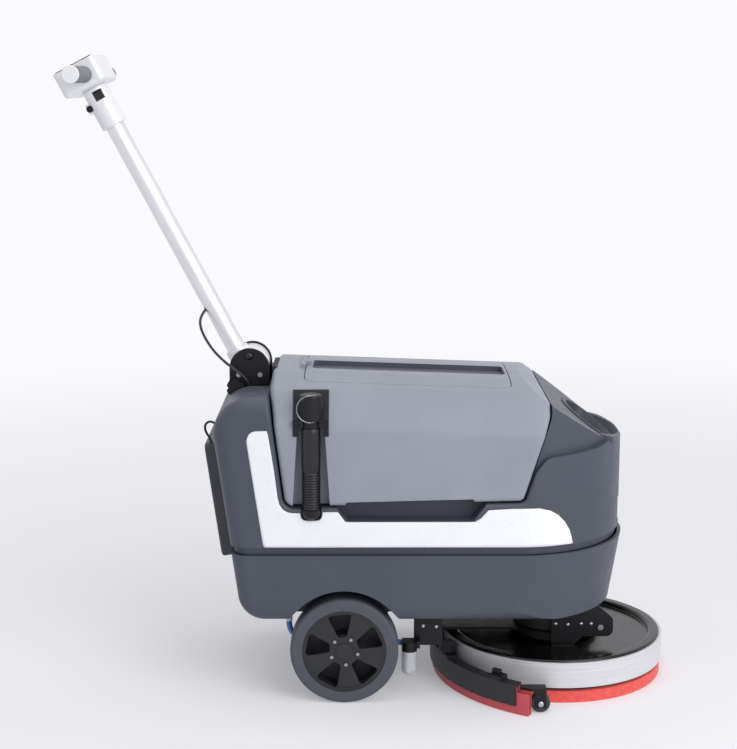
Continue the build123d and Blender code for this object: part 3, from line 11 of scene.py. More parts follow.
import bmesh
import bpy
import numpy as np
from bpy.props import FloatProperty, FloatVectorProperty, IntProperty, PointerProperty
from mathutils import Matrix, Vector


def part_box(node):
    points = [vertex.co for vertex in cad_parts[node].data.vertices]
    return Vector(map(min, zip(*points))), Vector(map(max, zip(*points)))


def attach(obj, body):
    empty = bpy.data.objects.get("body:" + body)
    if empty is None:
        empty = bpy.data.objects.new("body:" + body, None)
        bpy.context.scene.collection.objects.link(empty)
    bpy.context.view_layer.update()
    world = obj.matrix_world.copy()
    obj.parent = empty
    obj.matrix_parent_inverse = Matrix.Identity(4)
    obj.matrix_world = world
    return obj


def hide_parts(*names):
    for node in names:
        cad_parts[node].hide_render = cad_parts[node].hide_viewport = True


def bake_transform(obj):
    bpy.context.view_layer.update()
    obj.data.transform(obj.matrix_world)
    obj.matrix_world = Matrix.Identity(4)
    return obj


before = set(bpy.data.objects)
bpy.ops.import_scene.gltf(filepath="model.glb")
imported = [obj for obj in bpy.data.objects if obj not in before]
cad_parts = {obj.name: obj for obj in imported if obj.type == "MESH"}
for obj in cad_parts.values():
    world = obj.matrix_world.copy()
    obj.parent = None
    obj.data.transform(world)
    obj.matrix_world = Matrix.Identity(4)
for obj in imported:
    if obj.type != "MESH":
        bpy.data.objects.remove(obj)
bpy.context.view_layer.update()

bl_info = {
    "name": "Floor Scrubber",
    "version": (1, 0, 0),
    "blender": (4, 5, 0),
    "location": "View3D > Sidebar > Scrubber",
    "description": "Finishes and soft pieces of a walk-behind floor scrubber",
    "category": "Object",
}

MM = 0.001
FORWARD = np.array([1.0, 0.0, 0.0])
ACROSS = np.array([0.0, 1.0, 0.0])
UP = np.array([0.0, 0.0, 1.0])

# Handle frame: the column leans back from its pivot; a runs forward, t up the column
LEAN = radians(27.7)
HANDLE_ORIGIN = np.array([-534.97, 0.0, 536.82]) * MM
HANDLE_A = np.array([cos(LEAN), 0.0, sin(LEAN)])
HANDLE_T = np.array([-sin(LEAN), 0.0, cos(LEAN)])

# Near-white of the studio: floor, far background and what gloss reflects
BACKDROP = "#FAFAFE"
# Softboxes: side, place and turn
TOP_BOX = (3.0, (-0.3, -0.3, 3.2), (0.0, 0.0, 0.0))
FRONT_BOX = (2.2, (1.5, -2.4, 1.8), (radians(62), 0.0, radians(37)))
# Floor: half its side, points along a side, and how far out it has faded to the background
FLOOR_HALF = 7.0
FLOOR_POINTS = 29
FLOOR_FADED = 3.6

# Thickness of the side film and of the neck's pane
SHEET_THICKNESS = 0.15 * MM

# Routes of the cords in mm, from where each leaves its socket
CONTROL_ROUTE = [
    (-601.84, -6, 638.37), (-611, -12, 627), (-612, -22, 612), (-604, -34, 595), (-589, -46, 574),
    (-570, -54, 556), (-550, -57, 541), (-533, -55, 527), (-524, -52, 508), (-522, -50, 488.5),
]
CHARGER_ROUTE = [
    (-579.67, -100, 457), (-587, -100.5, 461.5), (-593.5, -101, 460.5), (-598, -100.5, 455.5),
    (-598.6, -100, 448.5), (-596, -99.7, 441), (-591, -99.8, 434), (-588, -100, 425.5),
]
SOLUTION_ROUTE = [
    (-460, -112, 117.8), (-460, -112, 105), (-450, -112.5, 92), (-431, -113.5, 86.5),
    (-410, -114.5, 91), (-390, -115.5, 106), (-374, -116, 115), (-353, -117.5, 116),
    (-330, -120, 109), (-304, -131, 96), (-285, -135, 88), (-268.6, -136, 87),
]

# Black caps over the top hinge bolts: name and place in mm, then radius and height of each
BOLT_CAPS = [("hinge_cap_right", -527.0, -42.3, 562.0), ("hinge_cap_left", -527.0, 42.3, 562.0)]
CAP_RADIUS = 6.2
CAP_HEIGHT = 5.4

# Shape of a rounded head above its foot, as shares of its radius and of its height
HEAD_SHAPE = ((1.0, 0.4), (0.93, 0.68), (0.75, 0.89), (0.4, 1.0))
# A pan head is this share of its radius high, and its foot is sunk this far in mm
PAN_SHARE = 0.62
HEAD_SUNK = 0.2

# Pan heads that sit on CAD faces: name, body, place in mm and head radius
PAN_HEADS = [
    (f"deck_screw_{side}_{number}", "chassis", x, y, z, 3.2)
    for side, y in (("right", -86.0), ("left", 86.0))
    for number, (x, z) in enumerate(((-3, 102.5), (18, 101), (41, 102.5), (58, 102.5)))
] + [
    ("filter_screw_rear", "chassis", -232.5, -130.0, 114.0, 3.2),
    ("filter_screw_front", "chassis", -210.0, -130.0, 113.0, 3.2),
    ("fork_screw_right", "squeegee", -42.1, -234.8, 16.0, 5.0),
    ("fork_screw_left", "squeegee", -42.1, 234.8, 16.0, 5.0),
]


def linear(code):
    """Turn an sRGB hex colour into linear red, green and blue with alpha 1."""
    srgb = np.array([int(code[i:i + 2], 16) for i in (1, 3, 5)]) / 255
    value = np.where(srgb <= 0.04045, srgb / 12.92, ((srgb + 0.055) / 1.055) ** 2.4)
    return (*value.tolist(), 1.0)


def colour(name, description, code):
    """Return a colour property with an sRGB hex default."""
    return FloatVectorProperty(
        name=name, description=description, subtype="COLOR", size=4, min=0.0, max=1.0, default=linear(code),
    )


def length(name, description, size_mm):
    """Return a length property with a default in millimetres."""
    return FloatProperty(
        name=name, description=description, unit="LENGTH", subtype="DISTANCE", min=0.0, default=size_mm * MM,
    )


class ScrubberColours(bpy.types.PropertyGroup):
    """Colours of the finishes."""

    body: colour("Body", "Dark grey of the rotomoulded body and base", "#484D58")
    tank: colour("Tank", "Light grey of the rotomoulded recovery tank and lid", "#959AA4")
    trough: colour("Tray", "Dark grey of the tray in the lid", "#4A4D58")
    tyre: colour("Tyre", "Grey of the non-marking tyres", "#4D5058")
    rim: colour("Rim", "Charcoal of the spoked rims", "#1E1F24")
    pad: colour("Pad", "Red of the scrubbing pad", "#F8645C")
    blade: colour("Blades", "Red of the squeegee blades", "#C9505A")
    skirt: colour("Skirt", "Silver grey of the splash skirt", "#DCDDE0")
    film: colour("Side film", "White of the vinyl side film", "#F4F6F9")
    hose: colour("Solution hose", "Blue of the water hose", "#3B78C4")


class ScrubberSizes(bpy.types.PropertyGroup):
    """Sizes of the pieces that this file makes."""

    control_cable: length("Control cable", "Diameter of the cable from column to body", 4.5)
    charger_cable: length("Charger cable", "Diameter of the cable into the charger box", 4.0)
    solution_hose: length("Solution hose", "Diameter of the water hose", 10.0)
    film_lift: length("Film lift", "Height of the side film above the body", 0.35)
    rib_pitch: length("Hose rib pitch", "Distance between the drain hose's ribs", 4.4)
    rib_count: IntProperty(
        name="Hose ribs", description="Number of ribs on the drain hose", default=14, min=2,
    )
    grip_pitch: length("Grip ring pitch", "Distance between the rings of a hand grip", 4.0)
    pad_fuzz: length("Pad fuzz", "How far the pad's cut edge wanders inwards", 1.4)


class ScrubberStage(bpy.types.PropertyGroup):
    """Camera, lamps and floor."""

    camera: FloatVectorProperty(
        name="Camera", description="Place of the camera", subtype="TRANSLATION", unit="LENGTH",
        default=(-0.32477, -2.77094, 1.0289),
    )
    pitch: FloatProperty(
        name="Pitch", description="How far the camera looks down", subtype="ANGLE", default=radians(10.354),
    )
    lens: FloatProperty(
        name="Lens", description="Focal length in millimetres", subtype="DISTANCE_CAMERA", default=78.459,
    )
    top_lamp: FloatProperty(
        name="Top lamp", description="Power of the overhead softbox", unit="POWER", default=25.0,
    )
    front_lamp: FloatProperty(
        name="Front lamp", description="Power of the front softbox", unit="POWER", default=54.0,
    )
    sky: FloatProperty(
        name="Sky", description="Strength of the soft light all round", default=0.48, min=0.0,
    )
    floor: colour("Floor", "Near-white of the studio floor", BACKDROP)


def node(tree, kind, links=None, values=None, **settings):
    """Add a node, set its properties and socket values, and link its sockets from outputs."""
    made = tree.nodes.new(kind)
    for key, value in settings.items():
        setattr(made, key, value)
    for key, value in (values or {}).items():
        made.inputs[key].default_value = value
    for key, output in (links or {}).items():
        tree.links.new(output, made.inputs[key])
    return made


def finish(name, **values):
    """Return a new material, its node tree, its shader with values set, and object coordinates."""
    material = bpy.data.materials.new(name)
    material.use_nodes = True
    tree = material.node_tree
    shader = tree.nodes["Principled BSDF"]
    for key, value in values.items():
        shader.inputs[key.replace("_", " ")].default_value = value
    return material, tree, shader, node(tree, "ShaderNodeTexCoord").outputs["Object"]


def noise(tree, place, size_mm, detail=3.0, turn=(0.0, 0.0, 0.0), stretch=(1.0, 1.0, 1.0)):
    """Return the value of a noise whose spots are size_mm wide, turned and then stretched."""
    turned = node(tree, "ShaderNodeMapping", {"Vector": place}, {"Rotation": turn})
    squeezed = node(tree, "ShaderNodeMapping", {"Vector": turned.outputs[0]}, {"Scale": stretch})
    cloud = node(
        tree, "ShaderNodeTexNoise", {"Vector": squeezed.outputs[0]},
        {"Scale": 1.0 / (size_mm * MM), "Detail": detail, "Roughness": 0.55},
    )
    return cloud.outputs[0]


def roughened(tree, shader, value, low, high):
    """Let the middle of a noise, 0.3 to 0.7, run the shader's roughness from low to high."""
    spread = node(
        tree, "ShaderNodeMapRange", {"Value": value},
        {"From Min": 0.3, "From Max": 0.7, "To Min": low, "To Max": high},
    )
    tree.links.new(spread.outputs[0], shader.inputs["Roughness"])


def tinted(tree, shader, value, tint, shade, light):
    """Let a noise run the shader's colour from tint times shade to tint times light."""
    ramp = node(tree, "ShaderNodeValToRGB", {"Fac": value})
    for stop, place, gain in zip(ramp.color_ramp.elements, (0.32, 0.68), (shade, light)):
        stop.position = place
        stop.color = (*(min(1.0, c * gain) for c in tint[:3]), 1.0)
    tree.links.new(ramp.outputs["Color"], shader.inputs["Base Color"])


def embossed(tree, shader, value, height_mm, below=None):
    """Link a height pattern to the shader's normal, over an earlier bump where there is one."""
    links = {"Height": value}
    if below is not None:
        links["Normal"] = below
    bump = node(tree, "ShaderNodeBump", links, {"Distance": height_mm * MM, "Strength": 1.0})
    tree.links.new(bump.outputs[0], shader.inputs["Normal"])
    return bump.outputs[0]


def moulded(name, tint, rough, grain_mm, height_mm, cloud_mm=120.0, spread=0.05, **values):
    """Return a moulded finish: broad clouds of tone, uneven gloss and a fine grain."""
    material, tree, shader, place = finish(name, **values)
    tinted(tree, shader, noise(tree, place, cloud_mm), tint, 1.0 - spread, 1.0 + spread)
    roughened(tree, shader, noise(tree, place, cloud_mm / 4, detail=5.0), rough - 0.06, rough + 0.06)
    embossed(tree, shader, noise(tree, place, grain_mm), height_mm)
    return material


def drawn(name, tint, rough, line_mm, turn, stretch, height_mm=0.02):
    """Return a metal with fine lines along one direction, where the tool or die ran."""
    material, tree, shader, place = finish(name, Metallic=1.0)
    lines = noise(tree, place, line_mm, detail=2.0, turn=turn, stretch=stretch)
    tinted(tree, shader, lines, tint, 0.93, 1.04)
    roughened(tree, shader, lines, rough - 0.05, rough + 0.07)
    embossed(tree, shader, lines, height_mm)
    return material


def dress(material, *names):
    """Give CAD nodes one material each."""
    for name in names:
        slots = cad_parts[name].data.materials
        slots.clear()
        slots.append(material)


def surface(name, grid, material, body=None, wrap=True, loop=False, poles=False):
    """Make a mesh piece from a grid of points (rows, columns, xyz) in metres.

    Neighbouring points become quads.  wrap joins the last column to the first, loop the
    last row to the first, and poles closes the end rows with fans round their means.  The
    UV map counts the distance along the rows' means and round the widest row.
    """
    rows, cols = grid.shape[:2]
    index = np.arange(rows * cols).reshape(rows, cols)
    over = np.vstack([index, index[:1]]) if loop else index
    over = np.hstack([over, over[:, :1]]) if wrap else over
    quads = np.stack([over[:-1, :-1], over[:-1, 1:], over[1:, 1:], over[1:, :-1]], -1).reshape(-1, 4)
    faces = quads.tolist()
    points = grid.reshape(-1, 3)
    if poles:
        ends = np.vstack([grid[0].mean(0), grid[-1].mean(0)])
        points = np.vstack([points, ends])
        tip = rows * cols
        near = np.stack([over[0, 1:], over[0, :-1], np.full(over.shape[1] - 1, tip)], -1)
        far = np.stack([over[-1, :-1], over[-1, 1:], np.full(over.shape[1] - 1, tip + 1)], -1)
        faces += near.tolist() + far.tolist()
    mesh = bpy.data.meshes.new(name)
    mesh.from_pydata(points.tolist(), [], faces)
    step = np.linalg.norm(np.diff(grid.mean(1), axis=0), axis=1)
    along = np.concatenate([[0.0], np.cumsum(step), [step.sum()] * (over.shape[0] - rows)])
    girth = np.linalg.norm(np.diff(grid, axis=1), axis=2).sum(1).max()
    round_it = np.linspace(0.0, girth, over.shape[1])
    u, v = np.meshgrid(round_it, along)
    chart = np.stack([u, v], -1)
    corners = np.stack([chart[:-1, :-1], chart[:-1, 1:], chart[1:, 1:], chart[1:, :-1]], 2).reshape(-1, 2)
    spare = np.zeros((len(mesh.loops) - len(corners), 2))
    layer = mesh.uv_layers.new(name="UVMap")
    layer.data.foreach_set("uv", np.vstack([corners, spare]).astype(np.float32).ravel())
    work = bmesh.new()
    work.from_mesh(mesh)
    bmesh.ops.remove_doubles(work, verts=work.verts, dist=1e-7)
    if poles or loop:
        bmesh.ops.recalc_face_normals(work, faces=work.faces)
    work.to_mesh(mesh)
    work.free()
    mesh.polygons.foreach_set("use_smooth", np.ones(len(mesh.polygons), bool))
    mesh.materials.append(material)
    piece = bpy.data.objects.new(name, mesh)
    bpy.context.scene.collection.objects.link(piece)
    if body:
        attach(piece, body)
    return piece


def turned(profile, origin, axis, side, steps):
    """Turn a profile of (radius, height) rows about an axis into a grid of rows and columns.

    Each point is origin + height * axis + radius * (cos(angle) * side + sin(angle) * third).
    """
    angle = np.linspace(0.0, 2 * pi, steps, endpoint=False)
    third = np.cross(axis, side)
    ring = np.cos(angle)[:, None] * side + np.sin(angle)[:, None] * third
    radius, height = np.asarray(profile).T
    return origin + height[:, None, None] * axis + radius[:, None, None] * ring[None]


def spline_points(name, route):
    """Return the points of a NURBS curve of order 3 whose control points are the route in mm."""
    data = bpy.data.curves.new(name, "CURVE")
    data.dimensions = "3D"
    data.resolution_u = 10
    spline = data.splines.new("NURBS")
    spline.points.add(len(route) - 1)
    knots = np.c_[np.array(route) * MM, np.ones(len(route))]
    spline.points.foreach_set("co", knots.astype(np.float32).ravel())
    spline.order_u = 3
    spline.use_endpoint_u = True
    guide = bpy.data.objects.new(name, data)
    bpy.context.scene.collection.objects.link(guide)
    bpy.context.view_layer.update()
    line = bpy.data.meshes.new_from_object(guide)
    points = np.zeros(len(line.vertices) * 3)
    line.vertices.foreach_get("co", points)
    bpy.data.objects.remove(guide)
    bpy.data.meshes.remove(line)
    return points.reshape(-1, 3)


def tube(name, points, diameter, material, steps=20):
    """Make a round tube along points: a ring square to the path at each, with closed ends."""
    way = np.gradient(points, axis=0)
    way /= np.linalg.norm(way, axis=1)[:, None]
    side = np.cross(way, ACROSS)
    side /= np.linalg.norm(side, axis=1)[:, None]
    third = np.cross(way, side)
    angle = np.linspace(0.0, 2 * pi, steps, endpoint=False)
    ring = np.cos(angle)[None, :, None] * side[:, None] + np.sin(angle)[None, :, None] * third[:, None]
    return surface(name, points[:, None] + diameter / 2 * ring, material, poles=True)


def on_handle(forward_mm, up_mm):
    """Return a point of the handle's middle plane from its place along a and t."""
    return HANDLE_ORIGIN + forward_mm * MM * HANDLE_A + up_mm * MM * HANDLE_T


def thicken(sheet, thickness):
    """Give a thin sheet its thickness, half to each side."""
    solid = sheet.modifiers.new("Thickness", "SOLIDIFY")
    solid.thickness = thickness
    solid.offset = 0.0


def jacket(name, tint, rough, **values):
    """Return an extruded cable jacket: fine lengthwise draw lines that follow the cord's UV."""
    material, tree, shader, _ = finish(name, **values)
    chart = node(tree, "ShaderNodeTexCoord").outputs["UV"]
    lines = noise(tree, chart, 1.2, stretch=(1.0, 0.06, 1.0))
    tinted(tree, shader, lines, tint, 0.9, 1.1)
    roughened(tree, shader, lines, rough - 0.05, rough + 0.08)
    embossed(tree, shader, lines, 0.03)
    return material


class SCRUBBER_OT_cords(bpy.types.Operator):
    """Make the control cable, the charger cable and the blue solution hose."""

    bl_idname = "scrubber.cords"
    bl_label = "Cords"

    def execute(self, context):
        sizes, colours = context.scene.scrubber_sizes, context.scene.scrubber_colours
        # Soft PVC, extruded: near black with a low gloss and faint lines along the cord
        pvc = jacket("Extruded PVC, black", linear("#1E1F22"), 0.42)
        # Polyurethane tube, extruded: clear bright blue with a wet gloss
        blue = jacket("Extruded polyurethane, blue", colours.hose, 0.22, IOR=1.5, Coat_Weight=0.3)
        cords = (
            ("control_cable", CONTROL_ROUTE, sizes.control_cable, pvc, "black_rubber"),
            ("charger_cable", CHARGER_ROUTE, sizes.charger_cable, pvc, "black_rubber"),
            ("solution_hose", SOLUTION_ROUTE, sizes.solution_hose, blue, "blue_hose"),
        )
        for name, route, diameter, material, slot in cords:
            points = spline_points(f"{name}_line", route)
            cord = tube(f"{name}_jacket", points, diameter, material)
            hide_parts(name)
            if name == "control_cable":
                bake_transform(cord)
            else:
                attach(cord, "chassis")
        return {"FINISHED"}


class SCRUBBER_OT_mouldings(bpy.types.Operator):
    """Finish the large mouldings, from body and tank to the battery case."""

    bl_idname = "scrubber.mouldings"
    bl_label = "Mouldings"

    def execute(self, context):
        colours = context.scene.scrubber_colours
        # Rotomoulded polyethylene: satin, a faint orange peel and slow drifts of tone; the
        # real peel of about 1 mm is drawn at 3 mm so that it shows
        dark = moulded(
            "Rotomoulded polyethylene, dark grey", colours.body, 0.46, 3.0, 0.05,
            IOR=1.51, Specular_IOR_Level=0.4,
        )
        dress(dark, "main_body", "lower_chassis")
        light = moulded(
            "Rotomoulded polyethylene, light grey", colours.tank, 0.46, 3.0, 0.05,
            IOR=1.51, Specular_IOR_Level=0.35,
        )
        dress(light, "recovery_tank", "tank_lid")
        # Injection moulded ABS with a spark-eroded grain: flat and even
        tray = moulded("Grained ABS, slate", colours.trough, 0.52, 1.6, 0.03)
        dress(tray, "lid_troughs")
        case = moulded("Grained ABS, anthracite", linear("#3E4048"), 0.5, 2.0, 0.05)
        dress(case, "charger_box", "filler_strainer")
        # Polypropylene of battery case and pad driver: plain and slightly waxy
        waxy = moulded("Polypropylene, black", linear("#202124"), 0.4, 4.0, 0.03)
        dress(waxy, "battery_pack", "pad_driver")
        return {"FINISHED"}


class SCRUBBER_OT_metalwork(bpy.types.Operator):
    """Finish the column, brackets, bolts, deck dish, motor and painted head."""

    bl_idname = "scrubber.metalwork"
    bl_label = "Metalwork"

    def execute(self, context):
        # Anodised aluminium tube: satin silver with fine draw lines up the column
        anodised = drawn(
            "Anodised aluminium, satin", linear("#E2E3E6"), 0.43, 1.5,
            turn=(0.0, LEAN, 0.0), stretch=(1.0, 1.0, 0.02), height_mm=0.001,
        )
        dress(anodised, "column_tube")
        # Silver lacquer on a moulding: pale, smooth, with a fine metallic fleck
        dress(self.lacquer(), "head_housing", "neck_clamp", "handle_knuckle", "handle_bar")
        # Powder coat: black, half matt, with a soft pebbled skin of about 1.6 mm
        coat = moulded(
            "Powder coat, black", linear("#131417"), 0.46, 1.6, 0.06, cloud_mm=40.0, Specular_IOR_Level=0.3,
        )
        dress(
            coat, "hinge_bracket", "hinge_pin", "deck_brackets", "axle_brackets", "swivel_yoke",
            "wheel_forks", "clamp_bolt",
        )
        # Gloss enamel over pressed steel: deep black with a slow ripple
        enamel = moulded(
            "Gloss enamel, black", linear("#060607"), 0.2, 40.0, 0.01, cloud_mm=120.0, Specular_IOR_Level=0.4,
        )
        dress(enamel, "deck_dish")
        # Die-cast gear case under a thin coat of dark paint
        cast = moulded("Painted casting, graphite", linear("#1E1F22"), 0.5, 3.0, 0.12, cloud_mm=30.0)
        dress(cast, "brush_motor")
        # Zinc plated steel: bright, with the faint scratches of a driver
        zinc = drawn("Zinc plated steel", linear("#A4A6AA"), 0.3, 0.8, (0.0, 0.6, 0.3), (1.0, 0.15, 1.0))
        dress(zinc, "chassis_bolts", "wheel_bolts_right", "wheel_bolts_left", "rear_axle")
        return {"FINISHED"}

    def lacquer(self):
        """Return silver lacquer: small flecks of tone over a smooth pale ground."""
        material, tree, shader, place = finish("Silver lacquer", Metallic=0.1, Coat_Weight=0.25)
        fleck = node(tree, "ShaderNodeTexVoronoi", {"Vector": place}, {"Scale": 1.0 / (1.4 * MM)})
        tinted(tree, shader, fleck.outputs["Distance"], linear("#ECEDEF"), 0.97, 1.03)
        roughened(tree, shader, noise(tree, place, 20.0), 0.3, 0.42)
        embossed(tree, shader, noise(tree, place, 2.5), 0.02)
        return material


class SCRUBBER_OT_rubber(bpy.types.Operator):
    """Finish tyres, rims, blades, skirt, seals and the small black mouldings."""

    bl_idname = "scrubber.rubber"
    bl_label = "Rubber and small mouldings"

    def execute(self, context):
        colours = context.scene.scrubber_colours
        dress(self.tyre(colours.tyre), "tyre_right", "tyre_left")
        # Glass-filled nylon: charcoal, dry, with the pale haze of fibres under the skin
        nylon = moulded(
            "Glass-filled nylon, charcoal", colours.rim, 0.48, 1.8, 0.05, cloud_mm=14.0, spread=0.1,
        )
        dress(nylon, "rim_right", "rim_left", "blade_holder")
        # Cast polyurethane blade: soft red, smooth and slightly glossy
        gum = moulded("Cast polyurethane, red", colours.blade, 0.36, 3.0, 0.03, cloud_mm=25.0, IOR=1.5)
        dress(gum, "rear_blade", "front_blade")
        dress(self.skirt(colours.skirt), "skirt_ring")
        # Nylon, injection moulded: black with a low even gloss
        black = moulded(
            "Moulded nylon, black", linear("#111215"), 0.4, 1.4, 0.04, cloud_mm=30.0, spread=0.12,
            Specular_IOR_Level=0.32,
        )
        dress(
            black, "squeegee_knobs", "squeegee_clips", "star_knob", "drain_elbow", "drain_cap", "hose_clip",
            "filter_head", "control_panel",
        )
        # Acetal, injection moulded: white, smooth and waxy
        acetal = moulded("Moulded acetal, white", linear("#ECEEF0"), 0.34, 4.0, 0.02, cloud_mm=10.0)
        dress(acetal, "hose_fitting")
        # EPDM rubber: dull black with a bloom of lighter dust
        epdm = moulded("EPDM rubber, black", linear("#191A1C"), 0.72, 1.5, 0.05, cloud_mm=18.0, spread=0.15)
        dress(epdm, "lid_seal", "vacuum_gasket")
        # Soft grey caster rubber, matt
        soft = moulded(
            "Moulded rubber, dark grey", linear("#35363A"), 0.6, 1.8, 0.05, cloud_mm=12.0, spread=0.1,
        )
        dress(soft, "end_wheel_right", "end_wheel_left")
        # Silicone keys: matt pale grey
        keys = moulded("Silicone rubber, pale grey", linear("#B9BBC0"), 0.55, 1.0, 0.02, cloud_mm=8.0)
        dress(keys, "button_brush", "button_vacuum", "button_water")
        # Smoked acrylic window of the charge gauge
        smoked = moulded(
            "Smoked acrylic", linear("#17191C"), 0.12, 12.0, 0.02, cloud_mm=20.0, IOR=1.49, Coat_Weight=0.5,
        )
        dress(smoked, "battery_gauge")
        dress(self.bowl(), "filter_bowl")
        return {"FINISHED"}

    def tyre(self, tint):
        """Return tyre rubber: turned rings round the axle, and a dusty bloom."""
        material, tree, shader, place = finish("Non-marking rubber, grey")
        low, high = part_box("tyre_right")
        hub = [-(low.x + high.x) / 2, 0.0, -(low.z + high.z) / 2]
        centred = node(tree, "ShaderNodeMapping", {"Vector": place}, {"Location": hub})
        ring_pitch = 5 * MM
        # A wave texture of scale s repeats every 2 pi / (20 s)
        rings = node(
            tree, "ShaderNodeTexWave", {"Vector": centred.outputs[0]},
            {"Scale": 2 * pi / (20 * ring_pitch), "Distortion": 0.0, "Detail": 0.0},
            wave_type="RINGS", rings_direction="Y",
        )
        bloom = noise(tree, place, 22.0, detail=6.0)
        tinted(tree, shader, bloom, tint, 0.92, 1.08)
        roughened(tree, shader, bloom, 0.6, 0.78)
        turned_rings = embossed(tree, shader, rings.outputs[1], 0.06)
        embossed(tree, shader, noise(tree, place, 1.6), 0.06, below=turned_rings)
        return material

    def skirt(self, tint):
        """Return silver-grey PVC strip: level extrusion lines round the ring."""
        material, tree, shader, place = finish("Extruded PVC, silver grey", Metallic=0.2)
        lines = noise(tree, place, 2.2, stretch=(0.01, 0.01, 1.0))
        tinted(tree, shader, lines, tint, 0.92, 1.05)
        roughened(tree, shader, lines, 0.26, 0.4)
        embossed(tree, shader, lines, 0.08)
        return material

    def bowl(self):
        """Return clear SAN plastic: a little milky, with soft flow marks."""
        material, tree, shader, place = finish("Clear SAN plastic", IOR=1.57, Transmission_Weight=0.55)
        flow = noise(tree, place, 16.0, stretch=(1.0, 1.0, 0.4))
        tinted(tree, shader, flow, linear("#E9ECEF"), 0.95, 1.03)
        roughened(tree, shader, flow, 0.1, 0.22)
        embossed(tree, shader, flow, 0.05)
        return material


class SCRUBBER_OT_drain_hose(bpy.types.Operator):
    """Make the drain hose with rounded ribs below its smooth cuff, and the wire loop of its cap."""

    bl_idname = "scrubber.drain_hose"
    bl_label = "Drain hose"

    def execute(self, context):
        sizes = context.scene.scrubber_sizes
        low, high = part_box("drain_hose")
        axis_at = np.array([(low.x + high.x) / 2, (low.y + high.y) / 2, 0.0])
        outer = (high.x - low.x) / 2
        bore = 12.3 * MM
        rib_depth = 1.7 * MM
        ribs_top = low.z + sizes.rib_pitch * sizes.rib_count
        z = np.linspace(low.z, ribs_top, 8 * sizes.rib_count + 1)
        swell = 0.5 - 0.5 * np.cos(2 * pi * (z - low.z) / sizes.rib_pitch)
        ribs = np.c_[outer - rib_depth * (1.0 - swell ** 0.7), z]
        # Up the cuff, over its rounded rim and down the bore; steps from outer, ribs_top and high.z
        rise = np.array([(-0.9, 1.5), (0.0, 3.0), (0.0, 20.0)]) * MM + (outer, ribs_top)
        rim = np.array([(0.0, -12.0), (0.0, -2.0), (-0.6, -0.4), (-1.6, 0.0)]) * MM + (outer, high.z)
        inside = np.array([(bore + 0.6 * MM, high.z), (bore, high.z - 0.6 * MM), (bore, low.z)])
        # Plasticised PVC: black with a wet gloss that runs along cuff and ribs
        pvc = moulded("Plasticised PVC, black", linear("#0F1013"), 0.27, 6.0, 0.04, cloud_mm=30.0, spread=0.1)
        grid = turned(np.vstack([ribs, rise, rim, inside]), axis_at, UP, FORWARD, 64)
        hose = surface("drain_hose_ribbed", grid, pvc, "tank", loop=True)
        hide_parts("drain_hose")
        self.bail()
        return {"FINISHED"}

    def bail(self):
        """Bend the wire loop by which the drain cap is pulled; its two ends run into the cap."""
        low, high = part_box("drain_cap")
        radius = 22 * MM
        half_sweep = radians(112)
        end_depth = 7 * MM
        centre = np.array([(low.x + high.x) / 2, low.y - 1.5 * MM, high.z - 21 * MM])
        t = np.linspace(-1.0, 1.0, 61)
        angle = pi + half_sweep * t
        # The last quarter at each end turns inwards
        inwards = end_depth * np.maximum(np.abs(t) - 0.75, 0.0) / 0.25
        loop = centre + np.stack([radius * np.cos(angle), inwards, radius * np.sin(angle)], 1)
        # Stainless wire: drawn smooth, grey and bright
        wire = drawn("Stainless wire", linear("#8F9197"), 0.22, 0.8, (0.0, 0.0, 0.0), (1.0, 1.0, 1.0))
        ring = tube("drain_cap_bail", loop, 2.0 * MM, wire)
        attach(ring, "drain_plug")


